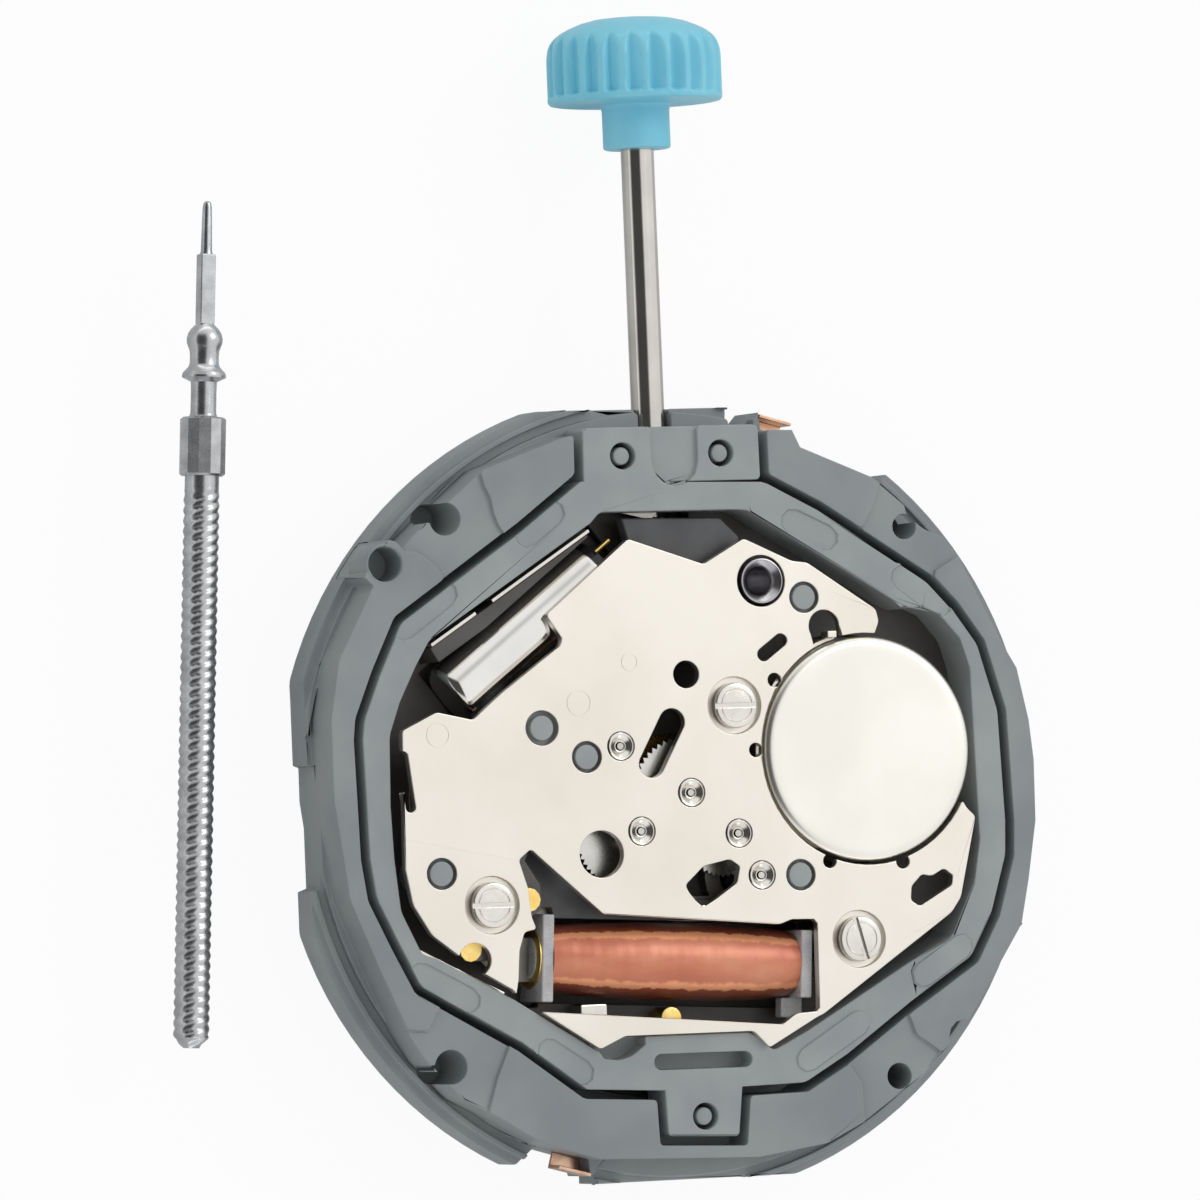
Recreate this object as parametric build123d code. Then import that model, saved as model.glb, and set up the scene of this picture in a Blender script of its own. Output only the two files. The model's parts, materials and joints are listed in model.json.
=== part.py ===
from build123d import *
from math import atan2, cos, degrees, hypot, pi, radians, sin, sqrt
import os

# Quartz watch movement, seen from its battery side. Millimetres, +Z towards the battery side,
# +Y along the setting stem, outwards. The origin is on the hand axis, in the plane the dial rests on.

# Sides of the small round pieces and holes, and of the pivots
small_sides = 12
pivot_sides = 12
head_sides = 20

# Plan sizes that the outlines follow
half_width = 11.5
flange_radius = 12.2
flange_flat = 11.6
channel_gap = 0.28
lip_radius = 9.2
overrun = 0.5
running_gap = 0.04
seat_gap = 0.02

# Heights above the dial seat
cover_thickness = 0.12
plate_bottom = 0.6
plate_top = 1.1
flange_height = 1.4
rim_height = 1.15
rim_inner = 11.95
ring_height = 2.8
bridge_bottom = 2.75
bridge_top = 3.05
stem_height = 0.9

# Casing ring
rim_groove_inner = 11.5
rim_groove_outer = 11.78
rim_groove_depth = 0.22
corner_recess_depth = 0.12
case_hole_radii = [0.48, 0.51, 0.37, 0.5, 0.38]
case_notch_width = 0.16
case_boss_radius = 0.76
rim_notch_radius = 0.5
case_hole_floor = 0.5
clip_boss_top = 1.8
dial_foot_radius = 0.38
dial_foot_depth = 1.1
stem_notch_radius = 0.54
tab_recess_width = 1.5
tab_recess_depth = 0.15
tab_top = 11.0

# Movement frame details
tab_hole_radius = 0.39
tab_pin_radius = 0.27
tab_pin_top = 2.7
long_slot_width = 0.45
long_slot_depth = 0.8
edge_pad_step = 0.07
edge_pad_width = 0.75

# Bridge and what holds it
post_radius = 0.5
screw_shank_radius = 0.28
screw_length = 1.1
screw_head_radius = 0.69
screw_head_height = 0.24
screw_sink = 0.05
screw_slot_width = 0.13
screw_slot_depth = 0.1
dowel_radius = 0.4
dowel_shoulder_radius = 0.58
bearing_radius = 0.42
bearing_rise = 0.04
tube_radius = 0.69
tube_bore = 0.39
tube_rise = 0.14

# Cell
cell_x = 5.85
cell_y = 1.13
cell_radius = 3.4
cell_bottom = 0.95
cell_top = 3.1
cell_edge = 0.22
cell_lip_height = 0.2
cell_cap_radius = 2.85
cell_gasket_width = 0.2
cell_crimp_depth = 0.45
cell_pocket_gap = 0.1
cell_opening_gap = 0.1
insulator_thickness = 0.05
contact_thickness = 0.08
clamp_thickness = 0.12
clamp_gap = 0.03
tab_reach = 0.8
clamp_tab_width = 0.3
clamp_tab_length = 0.2

# Motor
coil_x = -0.5
coil_y = -5.02
coil_turn = -3.4
coil_axis_height = 1.75
coil_radius = 1.18
coil_length = 8.06
core_width = 0.9
core_thickness = 0.3
sleeve_wall = 0.12
left_flange_thickness = 0.37
left_flange_width = 2.62
right_flange_thickness = 0.38
right_flange_width = 2.04
bobbin_flange_height = 1.86
foot_length = 0.7
foot_width = 0.6
foot_height = 0.45
stator_thickness = 0.5
motor_cover_height = 0.33
terminal_top = 2.0
terminal_radius = 0.34
rotor_hole_radius = 0.75
rotor_magnet_radius = 0.55
rotor_magnet_height = 0.32
rotor_lift = 0.05
stator_ring_radius = 1.25

# Gear train places, as seen through the bridge
rotor_x = 2.2
rotor_y = -2.55
fifth_x = 1.5
fifth_y = -1.27
third_x = -1.67
third_y = -1.1
minute_x = -2.24
minute_y = 1.46
setting_wheel_y = 5.5

# Gear train heights and thicknesses
wheel_thickness = 0.13
pinion_height = 0.3
centre_wheel_base = 1.2
fifth_wheel_base = 1.72
third_wheel_base = 2.02
seconds_wheel_base = 2.36
hour_wheel_base = 0.16
minute_wheel_base = 0.36
arbor_radius = 0.1
hub_radius = 0.3
bush_wall = 0.03
top_pivot = 3.0

# Hand posts
hour_pipe_radius = 0.6
hour_pipe_end = -0.75
minute_pipe_radius = 0.35
minute_pipe_end = -1.35
seconds_post_end = -2.0
cannon_radius = 0.38
cannon_bore = 0.15

# Tooth counts
rotor_pinion_teeth = 8
fifth_wheel_teeth = 48
fifth_pinion_teeth = 10
seconds_wheel_teeth = 50
seconds_pinion_teeth = 8
third_wheel_teeth = 60
third_pinion_teeth = 8
centre_wheel_teeth = 64
cannon_teeth = 12
minute_wheel_teeth = 36
minute_pinion_teeth = 10
hour_wheel_teeth = 40
setting_teeth = 18
crown_teeth = 12
tip_share = 0.85
root_share = 1.15

# Setting parts
stem_radius = 0.5
stem_square = 0.6
stem_pilot_radius = 0.17
stem_pilot_start = 4.2
stem_square_start = 5.6
stem_square_end = 8.1
stem_groove_start = 8.35
stem_groove_end = 8.77
pilot_boss_length = 0.75
stem_groove_radius = 0.22
stem_end = 21.6
pull_travel = 0.9
clutch_travel = 0.3
crown_outer_radius = 0.74
crown_inner_radius = 0.48
crown_tooth_height = 0.25
clutch_length = 1.1
clutch_groove_start = 0.6
clutch_groove_width = 0.32
clutch_groove_radius = 0.52
mesh_gap = 0.1
lever_x = -2.25
lever_pin_x = -0.43
lever_pin_radius = 0.1
lever_thickness = 0.16
lever_base = 1.46
lever_width = 0.6
lever_pocket_reach = 0.96
yoke_thickness = 0.15
yoke_finger_width = 0.16
yoke_finger_start = 0.56
yoke_plate_start = 0.95
yoke_plate_end = 1.8
yoke_plate_inner = 0.95
yoke_plate_outer = 0.55
yoke_post_radius = 0.2
stud_radius = 0.2

# Knob
knob_radius = 2.65
knob_start = 20.7
knob_band_end = 22.75
knob_end = 23.45
knob_hub_radius = 1.02
knob_hub_start = 19.35
knob_flutes = 24
knob_flute_depth = 0.16
knob_edge = 0.25

# Crystal
crystal_x = -7.24
crystal_y = 3.07
crystal_turn = 37.5
crystal_radius = 0.97
crystal_length = 6.0
crystal_axis_height = 1.76
crystal_header_length = 0.3
crystal_lead_radius = 0.08
crystal_lead_length = 0.8
crystal_lead_spacing = 0.7
crystal_dome = 0.25

# Dark cover over the sliding pinion
setting_cover_base = 1.75
setting_cover_top = 2.25
cover_leg_width = 0.3

# Circuit
circuit_thickness = 0.14
circuit_base = 2.56
chip_height = 0.5
chip_side = 1.9
contact_pad_radius = 0.36
contact_pad_height = 0.05
spacer_radius = 0.8

# Thin strips that stand along the frame's opening
strip_thickness = 0.15
strip_height = 1.66
resin_wall_top = 2.5

# Dial foot clips
clip_thickness = 0.1
clip_width = 1.08
clip_height = 0.86
clip_base = 1.0
clip_fold = 0.7

# Loose spare stem
spare_x = -14.65
spare_y = 5.55
spare_turn = 3.6
spare_axis_height = 0.67
spare_tip = 1.6
spare_tip_radius = 0.17
spare_square = 0.465
spare_square_length = 2.08
spare_bulge_radius = 0.54
spare_bulge_length = 0.66
spare_neck_radius = 0.46
spare_neck_length = 0.69
spare_collar_radius = 0.66
spare_collar_length = 0.36
spare_groove_radius = 0.39
spare_groove_length = 1.05
spare_block = 1.0
spare_block_length = 1.74
spare_thread_radius = 0.54
spare_thread_length = 16.95
spare_end_chamfer = 0.2

# Outlines, as shares of the half width
octagon_share = [
    (-0.273, 0.830), (-0.445, 0.704), (-0.796, 0.472), (-0.863, 0.337),
    (-0.913, 0.218), (-0.919, 0.166), (-0.912, -0.143), (-0.897, -0.246), (-0.838, -0.369),
    (-0.779, -0.483), (-0.501, -0.641), (-0.323, -0.771), (-0.112, -0.783),
    (0.136, -0.783), (0.305, -0.780), (0.431, -0.710), (0.619, -0.581),
    (0.804, -0.465), (0.870, -0.349), (0.918, -0.195), (0.922, -0.103), (0.912, 0.188),
    (0.859, 0.369), (0.788, 0.468), (0.719, 0.541), (0.410, 0.738), (0.255, 0.818),
]
top_tab_share = [(-0.273, 0.800), (0.255, 0.800), (0.253, 1.000), (-0.270, 1.000)]
bottom_tab_share = [(-0.112, -0.750), (-0.106, -0.902), (0.118, -0.912), (0.136, -0.750)]
opening_share = [
    (-0.218, 0.737), (0.154, 0.735), (0.200, 0.733), (0.612, 0.485), (0.650, 0.464), (0.698, 0.466),
    (0.741, 0.447), (0.799, 0.379), (0.824, 0.301), (0.833, -0.150), (0.813, -0.257), (0.743, -0.400),
    (0.601, -0.473), (0.453, -0.556), (0.311, -0.634), (0.215, -0.680), (0.151, -0.630),
    (-0.213, -0.628), (-0.285, -0.661), (-0.512, -0.519), (-0.720, -0.405), (-0.764, -0.393),
    (-0.818, -0.280), (-0.831, -0.146), (-0.836, -0.004), (-0.831, 0.174), (-0.800, 0.258),
    (-0.752, 0.350), (-0.710, 0.418), (-0.245, 0.709),
]
frame_pocket_share = [
    (-0.287, -0.653), (-0.264, -0.636), (-0.221, -0.610), (-0.150, -0.610), (-0.150, -0.650),
    (-0.189, -0.678), (-0.224, -0.687), (-0.266, -0.682),
]
edge_patch_shares = [
    [(-0.425, 0.683), (-0.350, 0.738)], [(-0.780, 0.452), (-0.660, 0.535)],
    [(0.330, 0.700), (0.425, 0.655)], [(0.640, 0.545), (0.745, 0.470)],
    [(-0.770, -0.445), (-0.640, -0.515)], [(-0.420, -0.655), (-0.330, -0.715)],
]
edge_pad_shares = [
    [(0.765, -0.430), (0.652, -0.500)], [(0.460, -0.618), (0.310, -0.708)],
]
flange_gap_shares = [
    [(0.211, 1.100), (0.211, 0.800), (0.500, 0.600), (0.610, 0.765), (0.675, 0.837), (0.750, 0.930),
     (0.750, 1.100)],
    [(-0.251, -1.100), (-0.251, -0.800), (-0.380, -0.750), (-0.400, -0.890), (-0.475, -0.955),
     (-0.520, -1.100)],
    [(-1.100, 0.140), (-0.985, 0.100), (-0.985, -0.210), (-1.100, -0.250)],
]
clip_boss_share = [(0.235, 0.900), (0.239, 0.945), (0.283, 0.992), (0.290, 0.900)]
pad_share = [
    (-0.271, 0.942), (-0.209, 0.951), (0.339, 0.940), (0.361, 0.894), (0.563, 0.811),
    (0.585, 0.795), (0.658, 0.735), (0.665, 0.706), (0.716, 0.669), (0.767, 0.648), (0.800, 0.605),
    (0.864, 0.477), (0.931, 0.348), (0.961, 0.297), (0.990, 0.159), (1.000, 0.053),
    (0.998, -0.106), (0.971, -0.260), (0.945, -0.378), (0.775, -0.632), (0.703, -0.703),
    (0.646, -0.764), (0.558, -0.820), (0.477, -0.873), (0.358, -0.929), (0.162, -0.956),
    (-0.291, -0.941), (-0.450, -0.892), (-0.595, -0.805), (-0.668, -0.766), (-0.764, -0.666),
    (-0.809, -0.595), (-0.885, -0.427), (-0.960, -0.244), (-0.994, 0.015), (-0.993, 0.220),
    (-0.965, 0.374), (-0.856, 0.572), (-0.780, 0.652), (-0.725, 0.703), (-0.537, 0.856),
    (-0.323, 0.930),
]
corner_recess_shares = [
    [(-0.560, 0.880), (-0.547, 0.839), (-0.540, 0.812), (-0.524, 0.781), (-0.518, 0.744), (-0.505, 0.710),
     (-0.470, 0.660), (-0.640, 0.540), (-0.681, 0.606), (-0.698, 0.620), (-0.716, 0.634),
     (-0.741, 0.648), (-0.770, 0.650), (-0.880, 0.700), (-0.700, 0.860)],
    [(0.600, 0.850), (0.587, 0.795), (0.558, 0.725), (0.525, 0.674), (0.500, 0.640), (0.700, 0.500),
     (0.727, 0.531), (0.737, 0.562), (0.791, 0.592), (0.850, 0.620), (0.800, 0.800)],
    [(-0.880, -0.575), (-0.836, -0.581), (-0.757, -0.589), (-0.731, -0.546), (-0.700, -0.500),
     (-0.520, -0.610), (-0.548, -0.672), (-0.568, -0.716), (-0.596, -0.799), (-0.600, -0.880),
     (-0.800, -0.800)],
    [(0.590, -0.570), (0.614, -0.618), (0.626, -0.655), (0.692, -0.701), (0.760, -0.740), (0.700, -0.850),
     (0.470, -0.920), (0.468, -0.850), (0.466, -0.777), (0.440, -0.739), (0.400, -0.680)],
]
case_hole_shares = [(-0.650, 0.730), (-0.826, 0.617), (0.655, 0.679), (-0.693, -0.685), (0.577, -0.763)]
case_notch_shares = [[(-0.702, 0.728), (-0.650, 0.730)], [(-0.745, -0.685), (-0.693, -0.685)]]
rim_notch_share = (0.765, -0.665)
tab_hole_shares = [(-0.147, 0.882), (0.132, 0.884), (0.013, -0.843)]
long_slot_share = [(-0.105, -0.697), (0.131, -0.699)]
bridge_share = [
    (-0.806, 0.185), (-0.707, 0.231), (-0.607, 0.208), (-0.520, 0.277), (-0.355, 0.392),
    (-0.349, 0.412), (-0.391, 0.473), (-0.151, 0.665), (0.061, 0.594), (0.178, 0.658),
    (0.313, 0.596), (0.356, 0.591), (0.549, 0.463), (0.556, 0.432), (0.545, 0.405),
    (0.534, 0.377), (0.789, -0.067), (0.813, -0.090), (0.761, -0.301), (0.733, -0.339),
    (0.355, -0.589), (0.330, -0.600), (0.194, -0.672), (0.150, -0.627), (-0.214, -0.625),
    (-0.285, -0.656), (-0.500, -0.519), (-0.525, -0.492), (-0.622, -0.436),
    (-0.746, -0.342), (-0.795, -0.263), (-0.812, -0.172),
]
coil_window_share = [
    (-0.460, -0.131), (-0.262, -0.307), (0.237, -0.352), (0.272, -0.340), (0.335, -0.342),
    (0.343, -0.352), (0.340, -0.575), (0.332, -0.583), (0.275, -0.586), (0.234, -0.613),
    (-0.469, -0.550), (-0.494, -0.541), (-0.518, -0.517), (-0.508, -0.468), (-0.502, -0.391),
    (-0.486, -0.345), (-0.452, -0.338), (-0.464, -0.307), (-0.472, -0.229), (-0.494, -0.158),
]
motor_window_share = [
    (0.027, -0.192), (0.102, -0.177), (0.129, -0.196), (0.119, -0.240), (0.057, -0.280),
    (0.022, -0.299), (0.003, -0.285), (-0.019, -0.258), (-0.027, -0.240),
]
heart_share = [
    (0.651, -0.236), (0.679, -0.242), (0.715, -0.223), (0.740, -0.242), (0.736, -0.268),
    (0.641, -0.320), (0.616, -0.303), (0.620, -0.266),
]
screw_shares = [(0.132, 0.223), (-0.574, -0.272), (0.462, -0.399)]
screw_slot_turns = [0, 0, -75]
knob_dome_shares = [(1.0, 0.0), (0.82, 0.6), (0.35, 1.0)]
pill_turns = [-90, -45, 0, 45, 90]
dowel_shares = [(0.343, 0.500), (-0.415, 0.181), (-0.292, 0.102), (-0.711, -0.186), (0.302, -0.225)]
tube_share = (0.222, 0.546)
edge_notch_shares = [(0.249, 0.286), (0.188, 0.105), (0.387, -0.192), (0.597, -0.201)]
edge_notch_radius = 0.2
arch_share = (0.397, 0.423)
arch_radius = 0.48
clamp_tab_share = (0.418, 0.3925)
small_hole_shares = [(-0.002, 0.308), (-0.261, -0.151)]
small_hole_radii = [0.4, 0.69]
gear_slot_share = [(-0.048, 0.185), (-0.109, 0.078)]
gear_slot_width = 0.8
angled_slot_share = [(0.222, 0.354), (0.271, 0.389)]
angled_slot_width = 0.39
slit_share = [(-0.806, 0.120), (-0.790, -0.012)]
slit_width = 0.28
contact_notch_share = (-0.628, -0.412)
contact_notch_radius = 0.5

stator_share = [
    (-0.640, -0.205), (-0.500, -0.205), (-0.450, -0.262), (0.085, -0.270), (0.290, -0.270),
    (0.420, -0.345), (0.530, -0.345), (0.545, -0.400), (0.510, -0.440), (0.450, -0.475),
    (0.400, -0.465), (0.385, -0.352),
    (0.300, -0.338), (-0.430, -0.335), (-0.510, -0.350), (-0.640, -0.335),
]
core_left_share = [
    (-0.420, -0.365), (-0.495, -0.345), (-0.495, -0.205), (-0.655, -0.205), (-0.655, -0.335),
    (-0.560, -0.430), (-0.470, -0.475), (-0.420, -0.475),
]
coil_radius_shares = [(-0.5, 0.78), (-0.15, 1.0), (0.25, 1.0), (0.5, 0.62)]
motor_cover_share = [
    (-0.485, -0.120), (-0.420, -0.090), (-0.240, -0.250), (0.260, -0.300), (0.260, -0.335),
    (-0.360, -0.325), (-0.370, -0.285), (-0.485, -0.285),
]
terminal_block_shares = [(-0.300, -0.583), (-0.223, -0.539)]
terminal_disc_share = (-0.043, -0.585)
setting_cover_share = [
    (-0.139, 0.722), (0.143, 0.717), (0.196, 0.665), (0.183, 0.617), (0.130, 0.548),
    (0.035, 0.513), (-0.087, 0.548), (-0.117, 0.643),
]
cover_leg_shares = [(-0.092, 0.626), (0.176, 0.638)]
resin_wall_share = [
    (-0.700, 0.397), (-0.525, 0.506), (-0.247, 0.681), (-0.224, 0.644), (-0.502, 0.470), (-0.677, 0.360),
]
core_right_share = [
    (0.350, -0.400), (0.385, -0.345), (0.530, -0.345), (0.545, -0.400), (0.510, -0.440),
    (0.450, -0.475), (0.350, -0.480),
]
circuit_share = [
    (-0.775, 0.110), (-0.560, 0.150), (-0.470, 0.120), (-0.400, 0.020), (-0.430, -0.090),
    (-0.465, -0.160), (-0.424, -0.225), (-0.424, -0.290), (-0.500, -0.330), (-0.560, -0.415),
    (-0.640, -0.415), (-0.745, -0.310), (-0.790, -0.150),
]
chip_share = (-0.600, -0.020)
contact_pad_shares = [(-0.458, -0.262), (-0.628, -0.385)]
strip_shares = [
    [(-0.705, 0.404), (-0.577, 0.484)],
    [(-0.530, 0.514), (-0.250, 0.690)],
    [(-0.757, -0.380), (-0.520, -0.503)],
]
dial_foot_shares = [(0.345, 0.885), (-0.345, -0.885)]
clip_shares = [(0.329, 0.974), (-0.329, -0.974)]
clip_turns = [-15.7, 164.3]
plate_rim_width = 0.5


def places(shares):
    return [(half_width * x, half_width * y) for x, y in shares]


def place(share):
    return places([share])[0]


def outline(shares):
    return make_face(Polyline(*places(shares), close=True))


def prism(shares, low, high):
    return Pos(0, 0, low) * extrude(outline(shares), amount=high - low)


def grown(shares, amount, low, high):
    face = offset(outline(shares), amount=amount, kind=Kind.INTERSECTION)
    return Pos(0, 0, low) * extrude(face, amount=high - low)


def disc(x, y, radius, low, high):
    shape = Cylinder(radius, high - low, align=(Align.CENTER, Align.CENTER, Align.MIN))
    return Pos(x, y, low) * shape


# A small round piece or hole as a regular prism, whose flats are at the radius when it is a hole
def stub(x, y, radius, low, high, sides=small_sides):
    return Pos(x, y, low) * extrude(RegularPolygon(radius, sides), amount=high - low)


def hole(x, y, radius, low, high, sides=small_sides):
    return stub(x, y, radius / cos(pi / sides), low, high, sides)


def ring(x, y, radius, bore, low, high):
    return disc(x, y, radius, low, high) - disc(x, y, bore, low - overrun, high + overrun)


def block(x_low, x_high, y_low, y_high, low, high):
    shape = Box(x_high - x_low, y_high - y_low, high - low, align=(Align.MIN, Align.MIN, Align.MIN))
    return Pos(x_low, y_low, low) * shape


def pill(ends, width, low, high):
    (x1, y1), (x2, y2) = places(ends)
    turn = degrees(atan2(y2 - y1, x2 - x1))
    points = []
    for x, y, start in [(x2, y2, turn), (x1, y1, turn + 180)]:
        for step in pill_turns:
            angle = radians(start + step)
            points.append((x + width / 2 * cos(angle), y + width / 2 * sin(angle)))
    return Pos(0, 0, low) * extrude(make_face(Polyline(*points, close=True)), amount=high - low)


def rod(radius, start, end, x=0, z=stem_height):
    shape = Cylinder(radius, end - start, align=(Align.CENTER, Align.CENTER, Align.MIN))
    return Pos(x, start, z) * Rot(-90, 0, 0) * shape


# A rod with flat sides, for the small turned parts of a stem
def peg(radius, start, end, z=stem_height, sides=small_sides):
    return Pos(0, start, z) * Rot(-90, 0, 0) * extrude(RegularPolygon(radius, sides), amount=end - start)


def bar(side, start, end, z=stem_height):
    shape = Box(side, end - start, side, align=(Align.CENTER, Align.MIN, Align.CENTER))
    return Pos(0, start, z) * shape


# A disc with pointed teeth and one tooth centred on the angle phase
def toothed(x, y, count, module, phase, low, high):
    pitch = 360 / count
    tip = module * (count / 2 + tip_share)
    root = module * (count / 2 - root_share)
    points = []
    for tooth in range(count):
        middle = phase + tooth * pitch
        for turn, radius in [(0, tip), (0.5, root)]:
            angle = radians(middle + turn * pitch)
            points.append((radius * cos(angle), radius * sin(angle)))
    face = make_face(Polyline(*points, close=True))
    return Pos(x, y, low) * extrude(face, amount=high - low)


# The phase of a gear that meshes with another one whose centre lies at the angle direction from it
def meshed(phase, count, other_count, direction):
    return direction + 180 - (phase - direction) * count / other_count + 180 / other_count


def module_of(distance, count, other_count):
    return 2 * distance / (count + other_count)


def tip_radius(count, module):
    return module * (count / 2 + tip_share)


# Modules from the centre distances, so that each pair meshes
rotor_module = module_of(hypot(rotor_x - fifth_x, rotor_y - fifth_y), rotor_pinion_teeth, fifth_wheel_teeth)
fifth_module = module_of(hypot(fifth_x, fifth_y), fifth_pinion_teeth, seconds_wheel_teeth)
third_module = module_of(hypot(third_x, third_y), seconds_pinion_teeth, third_wheel_teeth)
centre_module = module_of(hypot(third_x, third_y), third_pinion_teeth, centre_wheel_teeth)
minute_module = module_of(hypot(minute_x, minute_y), cannon_teeth, minute_wheel_teeth)
hour_module = module_of(hypot(minute_x, minute_y), minute_pinion_teeth, hour_wheel_teeth)

# The idle wheel between the setting wheel and the minute wheel, at pitch distance from both
setting_radius = minute_module * setting_teeth / 2
minute_radius = minute_module * minute_wheel_teeth / 2
setting_span = hypot(minute_x, minute_y - setting_wheel_y)
idle_reach = setting_span**2 + (2 * setting_radius) ** 2 - (setting_radius + minute_radius) ** 2
idle_reach /= 2 * setting_span
idle_side = sqrt((2 * setting_radius) ** 2 - idle_reach**2)
idle_x = (minute_x * idle_reach + (minute_y - setting_wheel_y) * idle_side) / setting_span
idle_y = setting_wheel_y + ((minute_y - setting_wheel_y) * idle_reach - minute_x * idle_side) / setting_span

# Tooth phases, from the seconds wheel outwards
to_fifth = degrees(atan2(fifth_y, fifth_x))
to_rotor = degrees(atan2(rotor_y - fifth_y, rotor_x - fifth_x))
to_third = degrees(atan2(third_y, third_x))
to_minute = degrees(atan2(minute_y, minute_x))
to_idle = degrees(atan2(idle_y - minute_y, idle_x - minute_x))
idle_to_setting = degrees(atan2(setting_wheel_y - idle_y, -idle_x))
minute_wheel_phase = meshed(to_minute, cannon_teeth, minute_wheel_teeth, to_minute)
idle_phase = meshed(minute_wheel_phase, minute_wheel_teeth, setting_teeth, to_idle)
setting_phase = meshed(idle_phase, setting_teeth, setting_teeth, idle_to_setting)

setting_tip = setting_wheel_y + tip_radius(setting_teeth, minute_module)
clutch_start = setting_tip + mesh_gap
shoulder_height = stator_thickness + plate_top
core_top = shoulder_height + core_thickness


def casing_ring():
    body = disc(0, 0, flange_radius, 0, rim_height) + disc(0, 0, rim_inner, rim_height, flange_height)
    body &= block(-flange_flat, flange_flat, -flange_flat, flange_flat, 0, flange_height)
    body -= ring(0, 0, rim_groove_outer, rim_groove_inner, flange_height - rim_groove_depth, ring_height)
    for shares in flange_gap_shares:
        body -= prism(shares, -overrun, ring_height)
    body += prism(pad_share, 0, ring_height)
    body += prism(clip_boss_share, 0, clip_boss_top)
    body += prism([(-x, -y) for x, y in clip_boss_share], 0, clip_boss_top)
    for shares in corner_recess_shares:
        body -= prism(shares, ring_height - corner_recess_depth, ring_height + overrun)
    x, y = place(case_hole_shares[1])
    body += stub(x, y, case_boss_radius, case_hole_floor, ring_height)
    body -= disc(0, 0, lip_radius, -overrun, plate_bottom + overrun)
    body -= grown(octagon_share, channel_gap / 2, plate_bottom, ring_height + overrun)
    body -= grown(top_tab_share, channel_gap / 2, flange_height, ring_height + overrun)
    body -= grown(bottom_tab_share, channel_gap / 2, flange_height, ring_height + overrun)
    for (x, y), radius in zip(places(case_hole_shares), case_hole_radii):
        body -= stub(x, y, radius, case_hole_floor, ring_height + overrun)
    for ends in case_notch_shares:
        body -= pill(ends, case_notch_width, flange_height, ring_height + overrun)
    x, y = place(rim_notch_share)
    body -= stub(x, y, rim_notch_radius, flange_height, ring_height + overrun)
    for x, y in places(dial_foot_shares):
        body -= disc(x, y, dial_foot_radius, -overrun, dial_foot_depth)
    body -= peg(stem_notch_radius, lip_radius - overrun, flange_radius)
    notch_top = flange_height + overrun
    half_notch = stem_notch_radius
    return body - block(-half_notch, half_notch, lip_radius - overrun, flange_radius, stem_height, notch_top)


def movement_frame():
    half_gap = channel_gap / 2
    body = grown(octagon_share, -half_gap, plate_top, ring_height)
    tab = grown(top_tab_share, -half_gap, flange_height, ring_height)
    tab &= block(-half_width, half_width, 0, tab_top, flange_height, ring_height)
    body += tab
    body += grown(bottom_tab_share, -half_gap, flange_height, ring_height)
    edge = grown(octagon_share, -half_gap, plate_top, ring_height + edge_pad_step)
    for ends in edge_pad_shares:
        body += pill(ends, edge_pad_width, plate_top, ring_height + edge_pad_step) & edge
    for ends in edge_patch_shares:
        body -= pill(ends, edge_pad_width, ring_height - edge_pad_step, ring_height + overrun)
    body -= prism(opening_share, plate_top - overrun, ring_height + overrun)
    body -= prism(frame_pocket_share, ring_height - long_slot_depth, ring_height + overrun)
    for x, y in places(tab_hole_shares):
        body -= stub(x, y, tab_hole_radius, flange_height + tab_recess_depth, ring_height + overrun)
    body -= pill(long_slot_share, long_slot_width, ring_height - long_slot_depth, ring_height + overrun)
    recess_end = tab_top + overrun
    recess_start = lip_radius + tab_recess_width / 2
    floor = ring_height - tab_recess_depth
    half_recess = tab_recess_width / 2
    body -= block(-half_recess, half_recess, recess_start, recess_end, floor, ring_height + overrun)
    body -= stub(0, recess_start, half_recess, floor, ring_height + overrun)
    body -= peg(stem_notch_radius + channel_gap / 2, 0, half_width)
    lever_top = lever_base + lever_thickness + running_gap
    low = plate_top - overrun
    lever_end = lip_radius + lever_pocket_reach
    body -= block(lever_x - lever_width, half_recess, stem_square_end, lever_end, low, lever_top)
    for ends in strip_shares:
        body -= strip(ends, strip_thickness + seat_gap, plate_top, ring_height + overrun)
    return body


def strip(ends, thickness, low, high):
    (x1, y1), (x2, y2) = places(ends)
    length = hypot(x2 - x1, y2 - y1)
    turn = degrees(atan2(y2 - y1, x2 - x1))
    shape = Box(length, thickness, high - low, align=(Align.CENTER, Align.CENTER, Align.MIN))
    return Pos((x1 + x2) / 2, (y1 + y2) / 2, low) * Rot(0, 0, turn) * shape


def shield_strips():
    return [strip(ends, strip_thickness, plate_top, plate_top + strip_height) for ends in strip_shares]


def coil_place(shape):
    return Pos(coil_x, coil_y, coil_axis_height) * Rot(0, 0, coil_turn) * shape


def crystal_place(shape):
    return Pos(crystal_x, crystal_y, crystal_axis_height) * Rot(0, 0, crystal_turn) * shape


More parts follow.
